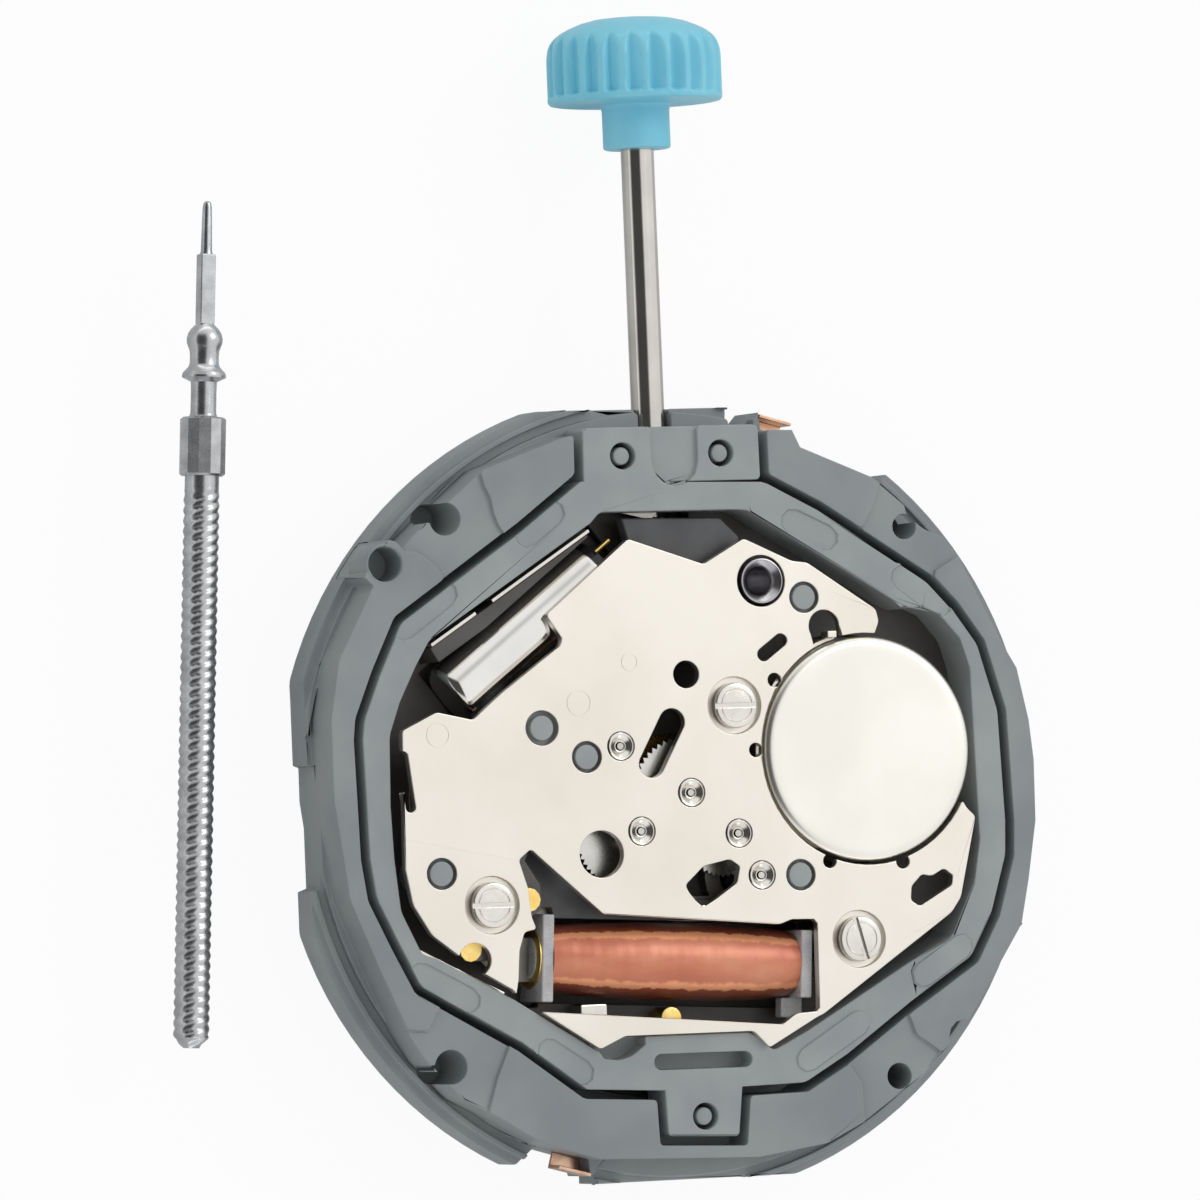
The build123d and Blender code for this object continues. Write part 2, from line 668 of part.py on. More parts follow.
def main_plate():
    body = grown(octagon_share, -channel_gap / 2, plate_bottom, plate_top)
    rim_radius = lip_radius - 2 * running_gap
    body += ring(0, 0, rim_radius, rim_radius - plate_rim_width, cover_thickness, plate_bottom)
    for x, y in places(screw_shares):
        body += stub(x, y, post_radius, plate_top, bridge_bottom)
        screw_end = bridge_top - screw_length - running_gap
        body -= hole(x, y, screw_shank_radius, screw_end, bridge_bottom + overrun)
    body += prism(resin_wall_share, plate_bottom, resin_wall_top)
    body -= disc(cell_x, cell_y, cell_radius + cell_pocket_gap, cell_floor(), plate_top + overrun)
    body -= coil_space(channel_gap)
    crystal_total = crystal_length + crystal_header_length + crystal_lead_length
    room = 2 * (crystal_radius + running_gap)
    trough = Box(crystal_total, room, room, align=(Align.MIN, Align.CENTER, Align.CENTER))
    body -= crystal_place(trough)
    clutch_room = crown_outer_radius + 2 * running_gap
    far = lip_radius + overrun
    high = plate_top + overrun
    room_end = yoke_plate_start + yoke_finger_width
    body -= block(-clutch_room, room_end, clutch_room_start(), far, -overrun, high)
    square_room = stem_square
    body -= block(-square_room, square_room, pilot_boss_end(), far, plate_bottom - overrun, high)
    body += pilot_boss()
    body -= rod(stem_pilot_radius + running_gap, stem_pilot_start - running_gap, stem_square_start)
    body -= stub(0, 0, cannon_radius + 2 * running_gap, -overrun, plate_top + overrun)
    pivot_hole = arbor_radius + bush_wall
    for x, y in [(rotor_x, rotor_y), (fifth_x, fifth_y), (third_x, third_y)]:
        body -= hole(x, y, pivot_hole, plate_bottom + cover_thickness, plate_top + overrun, pivot_sides)
    body -= hole(minute_x, minute_y, pivot_hole, -overrun, plate_top + overrun, pivot_sides)
    body += stub(idle_x, idle_y, stud_radius, cover_thickness, plate_bottom)
    body += stub(0, setting_wheel_y, stud_radius, cover_thickness, plate_bottom)
    body += stub(yoke_post_x(), yoke_post_y(), yoke_post_radius, plate_top, plate_top + 2 * yoke_thickness)
    lever_y = stem_groove_middle() + pull_travel / 2
    return body + stub(lever_x, lever_y, stud_radius, plate_top, lever_base + lever_thickness)


# The space of the winding and its flanges, each with the gap round it
def coil_space(gap):
    height = 3 * coil_radius
    flanges = left_flange_thickness + right_flange_thickness
    space = Box(coil_length + flanges + gap, 2 * coil_radius + gap, height)
    left = Box(left_flange_thickness + gap, left_flange_width + gap, height)
    right = Box(right_flange_thickness + gap, right_flange_width + gap, height)
    space += Pos(-(coil_length + left_flange_thickness) / 2, 0, 0) * left
    return coil_place(space + Pos((coil_length + right_flange_thickness) / 2, 0, 0) * right)


def cell_floor():
    return cell_bottom - insulator_thickness - contact_thickness


def clutch_room_start():
    return clutch_start - clutch_travel - mesh_gap


def pilot_boss_end():
    return stem_square_start - 2 * running_gap


def pilot_boss():
    top = stem_height + 3 * stem_pilot_radius
    end = pilot_boss_end()
    return block(-stem_radius, stem_radius, end - pilot_boss_length, end, plate_bottom, top)


def yoke_post_x():
    return (yoke_plate_start + yoke_plate_end) / 2


def yoke_post_y():
    return clutch_start + clutch_groove_start


def stem_groove_middle():
    return (stem_groove_start + stem_groove_end) / 2


def cover_plate():
    body = disc(0, 0, lip_radius - 2 * running_gap, 0, cover_thickness)
    body -= hole(0, 0, hour_pipe_radius + running_gap, -overrun, overrun, head_sides)
    return body - hole(minute_x, minute_y, arbor_radius + bush_wall, -overrun, overrun, pivot_sides)


def bridge_plate():
    body = prism(bridge_share, bridge_bottom, bridge_top)
    low = bridge_bottom - overrun
    high = bridge_top + overrun
    body -= disc(cell_x, cell_y, cell_radius + cell_opening_gap, low, high)
    for shares in [coil_window_share, heart_share, motor_window_share]:
        body -= prism(shares, low, high)
    for x, y in places(screw_shares):
        body -= hole(x, y, screw_shank_radius + running_gap, low, high, pivot_sides)
    for x, y in places(dowel_shares):
        body -= hole(x, y, dowel_radius + running_gap, low, high)
    for x, y in bearing_places():
        body -= stub(x, y, bearing_radius, low, high)
    x, y = place(tube_share)
    body -= hole(x, y, tube_radius + seat_gap, low, high)
    for x, y in places(edge_notch_shares):
        body -= stub(x, y, edge_notch_radius, low, high, pivot_sides)
    x, y = place(arch_share)
    body -= stub(x, y, arch_radius, low, high)
    for (x, y), radius in zip(places(small_hole_shares), small_hole_radii):
        body -= stub(x, y, radius, low, high)
    body -= pill(gear_slot_share, gear_slot_width, low, high)
    body -= pill(angled_slot_share, angled_slot_width, low, high)
    body -= pill(slit_share, slit_width, low, high)
    x, y = place(contact_notch_share)
    return body - stub(x, y, contact_notch_radius, low, high)


def bearing_places():
    return [(0, 0), (rotor_x, rotor_y), (fifth_x, fifth_y), (third_x, third_y), (minute_x, minute_y)]


def bridge_bearings():
    bearings = []
    for x, y in bearing_places():
        body = stub(x, y, bearing_radius, bridge_bottom, bridge_top + bearing_rise)
        bearings.append(body - hole(x, y, arbor_radius + bush_wall, 0, cell_top + overrun, pivot_sides))
    return bearings


def bridge_screws():
    screws = []
    base = bridge_top
    top = base + screw_head_height - screw_sink
    for (x, y), turn in zip(places(screw_shares), screw_slot_turns):
        head = stub(x, y, screw_head_radius, base, top, head_sides)
        head += stub(x, y, screw_shank_radius - seat_gap, bridge_top - screw_length, base, pivot_sides)
        cut = Box(3 * screw_head_radius, screw_slot_width, 2 * screw_slot_depth)
        screws.append(head - Pos(x, y, top) * Rot(0, 0, turn) * cut)
    return screws


def locating_posts():
    posts = []
    for x, y in places(dowel_shares):
        post = stub(x, y, dowel_shoulder_radius, plate_top, bridge_bottom)
        posts.append(post + stub(x, y, dowel_radius, bridge_bottom, bridge_top))
    return posts


def guide_tube():
    x, y = place(tube_share)
    body = stub(x, y, tube_radius, plate_top, bridge_top + tube_rise)
    return body - stub(x, y, tube_bore, plate_top + wheel_thickness, bridge_top + overrun)


def tab_pins():
    floor = flange_height + tab_recess_depth
    return [stub(x, y, tab_pin_radius, floor, tab_pin_top) for x, y in places(tab_hole_shares)]


def battery_can():
    start = cell_bottom + cell_lip_height
    body = disc(cell_x, cell_y, cell_radius, start, cell_top)
    body = chamfer(body.edges().group_by(Axis.Z)[-1], cell_edge)
    pocket = cell_cap_radius + cell_gasket_width
    return body - disc(cell_x, cell_y, pocket, start - overrun, start + cell_crimp_depth)


def battery_gasket():
    start = cell_bottom + cell_lip_height / 2
    top = cell_bottom + cell_lip_height + cell_crimp_depth
    return ring(cell_x, cell_y, cell_cap_radius + cell_gasket_width, cell_cap_radius, start, top)


def battery_cap():
    top = cell_bottom + cell_lip_height + cell_crimp_depth
    return disc(cell_x, cell_y, cell_cap_radius, cell_bottom, top)


def battery_insulator():
    floor = cell_floor()
    body = disc(cell_x, cell_y, cell_radius, floor, floor + insulator_thickness)
    return body - stub(cell_x, cell_y, cell_cap_radius / 2, floor - overrun, floor + overrun)


def negative_contact():
    base = cell_floor() + insulator_thickness
    hub = disc(cell_x, cell_y, cell_cap_radius / 2, base, cell_bottom)
    arm = block(cell_x - cell_radius, cell_x, cell_y - post_radius, cell_y + post_radius, base, cell_bottom)
    return hub + arm


def battery_clamp():
    inner = cell_radius + clamp_gap
    outer = inner + clamp_thickness
    low = plate_top
    high = bridge_bottom - clamp_gap
    body = ring(cell_x, cell_y, outer, inner, low, high)
    reach = cell_x - 2 * cell_radius
    near = cell_x - cell_radius / 2
    body &= block(reach, near, cell_y - cell_radius, cell_y + cell_radius, low, high)
    upper = ring(cell_x, cell_y, outer, inner, high - clamp_thickness, high)
    upper &= block(near, cell_x - tab_reach, cell_y, cell_y + 2 * cell_radius, low, high)
    x, y = place(clamp_tab_share)
    half = clamp_tab_width / 2
    tab_low = high - clamp_thickness
    return body + upper + block(x - half, x + half, y, y + clamp_tab_length, tab_low, cell_top)


def coil_winding():
    profile = [(coil_length * along, coil_radius * radius) for along, radius in coil_radius_shares]
    face = make_face(Polyline((-coil_length / 2, 0), *profile, (coil_length / 2, 0), close=True))
    body = revolve(face, axis=Axis.X)
    body -= Box(coil_length + overrun, sleeve_width(), sleeve_height())
    return coil_place(body)


def sleeve_width():
    return core_width + 2 * sleeve_wall


def sleeve_height():
    return core_thickness + 2 * sleeve_wall


def coil_bobbin():
    sleeve = Box(coil_length, sleeve_width(), sleeve_height())
    left = Box(left_flange_thickness, left_flange_width, bobbin_flange_height)
    right = Box(right_flange_thickness, right_flange_width, bobbin_flange_height)
    right_x = (coil_length + right_flange_thickness) / 2
    body = sleeve + Pos(-(coil_length + left_flange_thickness) / 2, 0, 0) * left
    body += Pos(right_x, 0, 0) * right
    foot = Box(foot_length, foot_width, foot_height, align=(Align.MAX, Align.MAX, Align.CENTER))
    body += Pos(right_x + right_flange_thickness / 2, -right_flange_width / 2, 0) * foot
    body -= Box(2 * coil_length, core_width + seat_gap, core_thickness + seat_gap)
    return coil_place(body)


def coil_core():
    flanges = left_flange_thickness + right_flange_thickness
    body = coil_place(Box(coil_length + flanges + core_width, core_width, core_thickness))
    low = coil_axis_height - core_thickness / 2
    high = low + core_thickness
    clear = coil_clear()
    body += prism(core_left_share, low, high) - clear
    body += prism(core_right_share, low, high) - clear
    for x, y in places(screw_shares[1:]):
        body -= stub(x, y, post_radius + running_gap, low - overrun, high + overrun)
    return body


# The space that the stator and the core's wide ends stay out of
def coil_clear():
    gap = 2 * seat_gap
    align = (Align.MAX, Align.MAX, Align.CENTER)
    foot = Box(foot_length + gap, foot_width + gap, 3 * coil_radius, align=align)
    x = coil_length / 2 + right_flange_thickness + seat_gap
    return coil_space(gap) + coil_place(Pos(x, seat_gap - right_flange_width / 2, 0) * foot)


def motor_cover():
    low = plate_top + stator_thickness + seat_gap
    return prism(motor_cover_share, low, low + motor_cover_height) - coil_clear()


def coil_terminals():
    (x1, y1), (x2, y2) = places(terminal_block_shares)
    x, y = place(terminal_disc_share)
    first = block(x1, x2, y1, y2, plate_top, terminal_top)
    return [first, stub(x, y, terminal_radius, plate_top, terminal_top)]


def setting_cover():
    body = prism(setting_cover_share, setting_cover_base, setting_cover_top)
    half = cover_leg_width / 2
    for x, y in places(cover_leg_shares):
        body += block(x - half, x + half, y - half, y + half, plate_top, setting_cover_base)
    return body


def stator():
    low = plate_top
    high = plate_top + stator_thickness
    body = prism(stator_share, low, high)
    body += stub(rotor_x, rotor_y, stator_ring_radius, low, high, head_sides)
    body -= stub(rotor_x, rotor_y, rotor_hole_radius, low - overrun, high + overrun, head_sides)
    for x, y in places(screw_shares[1:]):
        body -= stub(x, y, post_radius + running_gap, low - overrun, high + overrun)
    for x, y in places(dowel_shares):
        body -= stub(x, y, dowel_shoulder_radius + running_gap, low - overrun, high + overrun)
    return body - coil_clear()


def circuit_board():
    body = prism(circuit_share, circuit_base, circuit_base + circuit_thickness)
    x, y = places(screw_shares)[1]
    body -= stub(x, y, post_radius + running_gap, circuit_base - overrun, bridge_top)
    for x, y in places(dowel_shares):
        body -= stub(x, y, dowel_shoulder_radius + running_gap, circuit_base - overrun, bridge_top)
    return body


def circuit_spacer():
    x, y = places(screw_shares)[1]
    body = stub(x, y, spacer_radius, core_top, circuit_base)
    return body - stub(x, y, post_radius + running_gap, core_top - overrun, bridge_top)


def timing_chip():
    x, y = place(chip_share)
    shape = Box(chip_side, chip_side, chip_height, align=(Align.CENTER, Align.CENTER, Align.MAX))
    return Pos(x, y, circuit_base) * shape


def contact_pads():
    base = circuit_base + circuit_thickness
    top = base + contact_pad_height
    return [stub(x, y, contact_pad_radius, base, top, pivot_sides) for x, y in places(contact_pad_shares)]


def crystal_can():
    body = Cylinder(crystal_radius, crystal_length, align=(Align.CENTER, Align.CENTER, Align.MIN))
    body = chamfer(body.edges().group_by(Axis.Z)[0], crystal_dome)
    return crystal_place(Rot(0, 90, 0) * body)


def crystal_header():
    face = RegularPolygon(crystal_radius - 2 * running_gap, small_sides)
    header = extrude(face, amount=crystal_header_length)
    return crystal_place(Pos(crystal_length, 0, 0) * Rot(0, 90, 0) * header)


def crystal_leads():
    start = crystal_length + crystal_header_length
    leads = []
    for side in [-1, 1]:
        lead = extrude(RegularPolygon(crystal_lead_radius, pivot_sides), amount=crystal_lead_length)
        leads.append(crystal_place(Pos(start, side * crystal_lead_spacing / 2, 0) * Rot(0, 90, 0) * lead))
    return leads


def arbor(x, y, low, high):
    return disc(x, y, arbor_radius, low, high)


lower_pivot = plate_bottom + cover_thickness + running_gap


def rotor_magnet():
    low = plate_top + rotor_lift
    high = low + rotor_magnet_height
    body = stub(rotor_x, rotor_y, rotor_magnet_radius, low, high, head_sides)
    return body - bore(rotor_x, rotor_y, low, high)


# A wheel's hole, whose flats touch its arbor
def bore(x, y, low, high):
    return hole(x, y, arbor_radius, low - overrun, high + overrun, pivot_sides)


def rotor_pinion():
    high = fifth_wheel_base + wheel_thickness + running_gap * 2
    phase = meshed(to_rotor, fifth_wheel_teeth, rotor_pinion_teeth, to_rotor)
    teeth = toothed(rotor_x, rotor_y, rotor_pinion_teeth, rotor_module, phase, high - pinion_height, high)
    return teeth + arbor(rotor_x, rotor_y, lower_pivot, top_pivot)


def fifth_wheel():
    low = fifth_wheel_base
    high = low + wheel_thickness
    body = toothed(fifth_x, fifth_y, fifth_wheel_teeth, rotor_module, to_rotor, low, high)
    return body - bore(fifth_x, fifth_y, low, high)


def fifth_pinion():
    middle = seconds_wheel_base + wheel_thickness / 2
    phase = meshed(to_fifth, seconds_wheel_teeth, fifth_pinion_teeth, to_fifth)
    low = middle - pinion_height / 2
    teeth = toothed(fifth_x, fifth_y, fifth_pinion_teeth, fifth_module, phase, low, low + pinion_height)
    return teeth + arbor(fifth_x, fifth_y, lower_pivot, top_pivot)


def seconds_wheel():
    low = seconds_wheel_base
    high = low + wheel_thickness
    body = toothed(0, 0, seconds_wheel_teeth, fifth_module, to_fifth, low, high)
    return body - bore(0, 0, low, high)


def seconds_arbor():
    middle = third_wheel_base + wheel_thickness / 2
    low = middle - pinion_height / 2
    teeth = toothed(0, 0, seconds_pinion_teeth, third_module, to_third, low, low + pinion_height)
    upper = stub(0, 0, arbor_radius, minute_pipe_end, top_pivot, pivot_sides)
    return teeth + upper + arbor(0, 0, seconds_post_end, minute_pipe_end)


def third_wheel():
    low = third_wheel_base
    high = low + wheel_thickness
    phase = meshed(to_third, seconds_pinion_teeth, third_wheel_teeth, to_third)
    body = toothed(third_x, third_y, third_wheel_teeth, third_module, phase, low, high)
    return body - bore(third_x, third_y, low, high)


def third_pinion():
    middle = centre_wheel_base + wheel_thickness / 2
    low = middle - pinion_height / 3
    phase = to_third + 180
    teeth = toothed(third_x, third_y, third_pinion_teeth, centre_module, phase, low, low + pinion_height)
    return teeth + arbor(third_x, third_y, lower_pivot, top_pivot)


def centre_wheel():
    low = centre_wheel_base
    high = low + wheel_thickness
    phase = meshed(to_third + 180, third_pinion_teeth, centre_wheel_teeth, to_third + 180)
    body = toothed(0, 0, centre_wheel_teeth, centre_module, phase, low, high)
    body += stub(0, 0, hub_radius + cannon_radius, high, high + wheel_thickness)
    return body - stub(0, 0, cannon_radius + seat_gap / 4, low - overrun, high + overrun, head_sides)


def cannon_pinion():
    top = centre_wheel_base + 2 * wheel_thickness
    middle = minute_wheel_base + wheel_thickness / 2
    low = middle - wheel_thickness / 2 - running_gap
    high = plate_bottom - running_gap
    body = disc(0, 0, minute_pipe_radius, minute_pipe_end, hour_pipe_end)
    body += stub(0, 0, cannon_radius, hour_pipe_end, top, head_sides)
    body += toothed(0, 0, cannon_teeth, minute_module, to_minute, low, high)
    return body - stub(0, 0, cannon_bore, minute_pipe_end - overrun, top + overrun)


def minute_wheel():
    low = minute_wheel_base
    high = low + wheel_thickness
    body = toothed(minute_x, minute_y, minute_wheel_teeth, minute_module, minute_wheel_phase, low, high)
    return body - bore(minute_x, minute_y, low, high)


def minute_pinion():
    low = cover_thickness + seat_gap
    phase = to_minute + 180
    teeth = toothed(minute_x, minute_y, minute_pinion_teeth, hour_module, phase, low, minute_wheel_base)
    return teeth + arbor(minute_x, minute_y, seat_gap, top_pivot)


def hour_wheel():
    low = hour_wheel_base
    high = low + wheel_thickness
    phase = meshed(to_minute + 180, minute_pinion_teeth, hour_wheel_teeth, to_minute + 180)
    body = toothed(0, 0, hour_wheel_teeth, hour_module, phase, low, high)
    body += disc(0, 0, hour_pipe_radius, hour_pipe_end, 0)
    body += stub(0, 0, hour_pipe_radius, 0, high, head_sides)
    return body - hole(0, 0, cannon_radius + running_gap, hour_pipe_end - overrun, high + overrun, head_sides)


def idle_wheel():
    low = minute_wheel_base
    high = low + wheel_thickness
    body = toothed(idle_x, idle_y, setting_teeth, minute_module, idle_phase, low, high)
    return body - disc(idle_x, idle_y, stud_radius + running_gap, low - overrun, high + overrun)


def setting_wheel():
    low = hour_wheel_base
    high = minute_wheel_base + wheel_thickness
    body = toothed(0, setting_wheel_y, setting_teeth, minute_module, setting_phase, low, high)
    return body - disc(0, setting_wheel_y, stud_radius + running_gap, low - overrun, high + overrun)


# The crown teeth stand on the end of the sliding pinion and drop between the setting wheel's teeth
def crown_phase():
    pitch = 360 / setting_teeth
    offset_turn = (setting_phase - 90 + pitch / 2) % pitch - pitch / 2
    shift = -setting_radius * sin(radians(offset_turn))
    mean = (crown_outer_radius + crown_inner_radius) / 2
    return degrees(shift / mean)


def sliding_pinion():
    start = clutch_start
    body_start = start + crown_tooth_height
    end = body_start + clutch_length
    body = peg(crown_outer_radius, body_start, end, sides=head_sides)
    groove_start = body_start + clutch_groove_start
    groove = peg(crown_outer_radius + overrun, groove_start, groove_start + clutch_groove_width)
    body -= groove - rod(clutch_groove_radius, body_start, end)
    pitch = 360 / crown_teeth
    mean = (crown_outer_radius + crown_inner_radius) / 2
    tooth_width = 0.36 * mean * radians(pitch)
    for tooth in range(crown_teeth):
        turn = -90 + crown_phase() + (tooth + 0.5) * pitch
        align = (Align.MAX, Align.MIN, Align.CENTER)
        shape = Box(crown_outer_radius - crown_inner_radius, crown_tooth_height, tooth_width, align=align)
        body += Pos(0, start, stem_height) * Rot(0, -turn, 0) * Pos(crown_outer_radius, 0, 0) * shape
    return body - bar(stem_square + 2 * seat_gap, start - overrun, end + overrun)


def setting_stem():
    body = rod(stem_pilot_radius, stem_pilot_start, stem_square_start)
    body += bar(stem_square, stem_square_start, stem_square_end)
    body += peg(stem_radius, stem_square_end, stem_groove_start)
    body += peg(stem_groove_radius, stem_groove_start, stem_groove_end)
    return body + rod(stem_radius, stem_groove_end, stem_end)


def setting_knob():
    points = []
    for flute in range(knob_flutes):
        for turn, radius in [(0, knob_radius), (0.5, knob_radius - knob_flute_depth)]:
            angle = radians((flute + turn) * 360 / knob_flutes)
            points.append((radius * cos(angle), radius * sin(angle)))
    fluted = extrude(make_face(Polyline(*points, close=True)), amount=knob_band_end - knob_start)
    head = Pos(0, knob_start, stem_height) * Rot(-90, 0, 0) * fluted
    base = knob_radius - knob_flute_depth
    dome_height = knob_end - knob_band_end
    profile = [(base * radius, knob_band_end + dome_height * rise) for radius, rise in knob_dome_shares]
    face = make_face(Polyline((0, knob_band_end), *profile, (0, knob_end), close=True))
    head += Pos(0, 0, stem_height) * revolve(face, axis=Axis.Y)
    head += peg(knob_hub_radius, knob_hub_start, knob_start, sides=head_sides)
    return head - peg(stem_radius / cos(pi / head_sides), 0, stem_end, sides=head_sides)


def setting_lever():
    pivot_y = stem_groove_middle() + pull_travel / 2
    turn = degrees(atan2(-pull_travel / 2, lever_pin_x - lever_x))
    length = hypot(lever_pin_x - lever_x, pull_travel / 2)
    high = lever_base + lever_thickness
    arm = Box(length, lever_width, lever_thickness, align=(Align.MIN, Align.CENTER, Align.MIN))
    body = Pos(lever_x, pivot_y, lever_base) * Rot(0, 0, turn) * arm
    body += stub(lever_x, pivot_y, lever_width / 2, lever_base, high)
    pin_y = stem_groove_middle()
    body += stub(lever_pin_x, pin_y, lever_width / 2, lever_base, high)
    body -= disc(lever_x, pivot_y, stud_radius + running_gap, 0, bridge_top)
    return body + stub(lever_pin_x, pin_y, lever_pin_radius, stem_height - stem_groove_radius, lever_base)


def clutch_yoke():
    groove_start = clutch_start + crown_tooth_height + clutch_groove_start
    finger_start = groove_start + (clutch_groove_width - yoke_finger_width) / 2
    finger_end = finger_start + yoke_finger_width
    low = plate_top + seat_gap
    high = low + yoke_thickness
    middle = (finger_start + finger_end) / 2
    inner = middle - yoke_plate_inner
    outer = middle + yoke_plate_outer
    body = block(yoke_plate_start, yoke_plate_end, inner, outer, low, high)
    body += block(yoke_finger_start, yoke_plate_start, finger_start, finger_end, stem_height, high)
    half = yoke_post_radius + running_gap
    x = yoke_post_x()
    y = yoke_post_y()
    return body - block(x - half, x + half, y - half, y + half + clutch_travel, 0, bridge_top)


def dial_clips():
    clips = []
    align = (Align.CENTER, Align.MAX, Align.MIN)
    wall = prism(pad_share, 0, ring_height) + prism(clip_boss_share, 0, clip_boss_top)
    wall += prism([(-x, -y) for x, y in clip_boss_share], 0, clip_boss_top)
    for (x, y), turn in zip(places(clip_shares), clip_turns):
        leaf = Box(clip_width, clip_thickness, clip_height, align=align)
        fold = Box(clip_width, clip_fold, clip_thickness, align=align)
        clip = Pos(x, y, clip_base) * Rot(0, 0, turn) * (leaf + fold)
        clips.append(clip - wall)
    return clips


def spare_stem():
    lengths = [spare_tip, spare_square_length, spare_bulge_length, spare_neck_length, spare_collar_length]
    lengths += [spare_groove_length, spare_block_length, spare_thread_length]
    total = sum(lengths)
    ends = [total / 2 - sum(lengths[: n + 1]) for n in range(len(lengths))]
    body = peg(spare_tip_radius, ends[0], total / 2, z=0)
    body += bar(spare_square, ends[1], ends[0], z=0)
    body += peg(spare_bulge_radius, ends[2], ends[1], z=0)
    body += peg(spare_neck_radius, ends[3], ends[2], z=0)
    body += peg(spare_collar_radius, ends[4], ends[3], z=0)
    body += peg(spare_groove_radius, ends[5], ends[4], z=0)
    body += bar(spare_block, ends[6], ends[5], z=0)
    thread = rod(spare_thread_radius, ends[7], ends[6], z=0)
    thread = chamfer(thread.edges().group_by(Axis.Y)[0], spare_end_chamfer)
    return Pos(spare_x, spare_y, spare_axis_height) * Rot(0, 0, -spare_turn) * (body + thread)


def write(name, shapes):
    solids = []
    for shape in shapes if isinstance(shapes, list) else [shapes]:
        solids += shape.solids()
    result = solids[0] if len(solids) == 1 else Compound(children=solids)
    result.label = name
    export_step(result, os.path.join("parts", name + ".step"))


makers = [
    casing_ring, movement_frame, main_plate, cover_plate, bridge_plate, bridge_bearings,
    bridge_screws, locating_posts, guide_tube, tab_pins, shield_strips, dial_clips, battery_can,
    battery_gasket, battery_cap, battery_insulator, negative_contact, battery_clamp, coil_winding,
    coil_bobbin, coil_core, coil_terminals, stator, motor_cover, circuit_board, circuit_spacer,
    timing_chip, contact_pads, crystal_can, crystal_header, crystal_leads, rotor_magnet,
    rotor_pinion, fifth_wheel, fifth_pinion, seconds_wheel, seconds_arbor, third_wheel,
    third_pinion, centre_wheel, cannon_pinion, minute_wheel, minute_pinion, hour_wheel, idle_wheel,
    setting_wheel, sliding_pinion, clutch_yoke, setting_cover, setting_lever, setting_stem,
    setting_knob, spare_stem,
]

os.makedirs("parts", exist_ok=True)
for maker in makers:
    write(maker.__name__, maker())
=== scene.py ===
import json
import math

import bmesh
import bpy
from mathutils import Matrix, Vector


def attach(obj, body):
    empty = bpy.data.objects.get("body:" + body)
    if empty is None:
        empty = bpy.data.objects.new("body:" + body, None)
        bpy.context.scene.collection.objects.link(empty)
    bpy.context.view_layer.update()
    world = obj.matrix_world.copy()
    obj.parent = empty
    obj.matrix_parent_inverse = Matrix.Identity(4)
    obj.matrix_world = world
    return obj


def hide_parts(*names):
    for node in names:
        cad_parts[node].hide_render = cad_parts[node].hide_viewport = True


# Quartz watch movement with its setting stem and knob, and a spare stem beside it.
# Pieces are shaped in millimetres and become metres when they are finished.
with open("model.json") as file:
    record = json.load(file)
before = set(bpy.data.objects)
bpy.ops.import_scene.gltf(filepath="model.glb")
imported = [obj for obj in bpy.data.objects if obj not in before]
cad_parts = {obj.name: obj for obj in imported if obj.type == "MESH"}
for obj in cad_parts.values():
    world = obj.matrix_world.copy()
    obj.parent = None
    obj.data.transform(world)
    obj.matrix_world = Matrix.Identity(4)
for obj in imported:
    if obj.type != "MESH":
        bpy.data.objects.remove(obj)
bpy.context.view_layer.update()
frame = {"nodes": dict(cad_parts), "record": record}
nodes = frame["nodes"]
mm = 0.001
halfWidth = 11.5  # the outlines are written as shares of it
bodyOf = {}
for bodyName, members in frame["record"]["behaviour"]["bodies"].items():
    for member in members:
        bodyOf[member] = bodyName
print("frame loaded:", len(nodes), "nodes")

viewSettings = {
    "target": (-2.367, 5.867, 2.203),  # mm, the point in the middle of the picture
    "distance": 329.3,
    "lens": 330.0,
    "sensor": 36.0,
    "back": (-0.3939, -0.0262, 0.9188),  # from the target to the camera
    "up": (0.0266, 0.9989, 0.0399),
}


def makeCamera(settings):
    data = bpy.data.cameras.new("camera")
    data.lens = settings["lens"]
    data.sensor_width = settings["sensor"]
    data.clip_start = 0.01
    data.clip_end = 10
    camera = bpy.data.objects.new("camera", data)
    bpy.context.scene.collection.objects.link(camera)
    back = Vector(settings["back"]).normalized()
    right = Vector(settings["up"]).cross(back).normalized()
    up = back.cross(right)
    place = Vector(settings["target"]) * mm + back * settings["distance"] * mm
    turn = Matrix((right, up, back)).transposed()
    camera.matrix_world = Matrix.Translation(place) @ turn.to_4x4()
    bpy.context.scene.camera = camera


makeCamera(viewSettings)
bpy.context.scene.view_settings.view_transform = "Standard"
print("camera ready")


def linear(hexColour):
    values = [int(hexColour[place : place + 2], 16) / 255 for place in (1, 3, 5)]
    return tuple(v / 12.92 if v <= 0.04045 else ((v + 0.055) / 1.055) ** 2.4 for v in values) + (1.0,)


def addNode(tree, kind, settings=None, links=None):
    node = tree.nodes.new(kind)
    for key, value in (settings or {}).items():
        if key in node.inputs:
            node.inputs[key].default_value = value
        else:
            setattr(node, key, value)
    for key, source in (links or {}).items():
        tree.links.new(source, node.inputs[key])
    return node


# The node tree of a material or a world, emptied
def emptyTree(owner):
    owner.use_nodes = True
    owner.node_tree.nodes.clear()
    return owner.node_tree


# Each value is a number or the output of another node
def addMath(tree, operation, *values):
    node = addNode(tree, "ShaderNodeMath", {"operation": operation})
    for socket, value in zip(node.inputs, values):
        if isinstance(value, (int, float)):
            socket.default_value = value
        else:
            tree.links.new(value, socket)
    return node.outputs[0]


# Noise whose patches are about so many mm wide
def addNoise(tree, vector, size, detail, roughness=0.5):
    settings = {"Scale": 1 / (size * mm), "Detail": detail, "Roughness": roughness}
    return addNode(tree, "ShaderNodeTexNoise", settings, {"Vector": vector}).outputs["Fac"]


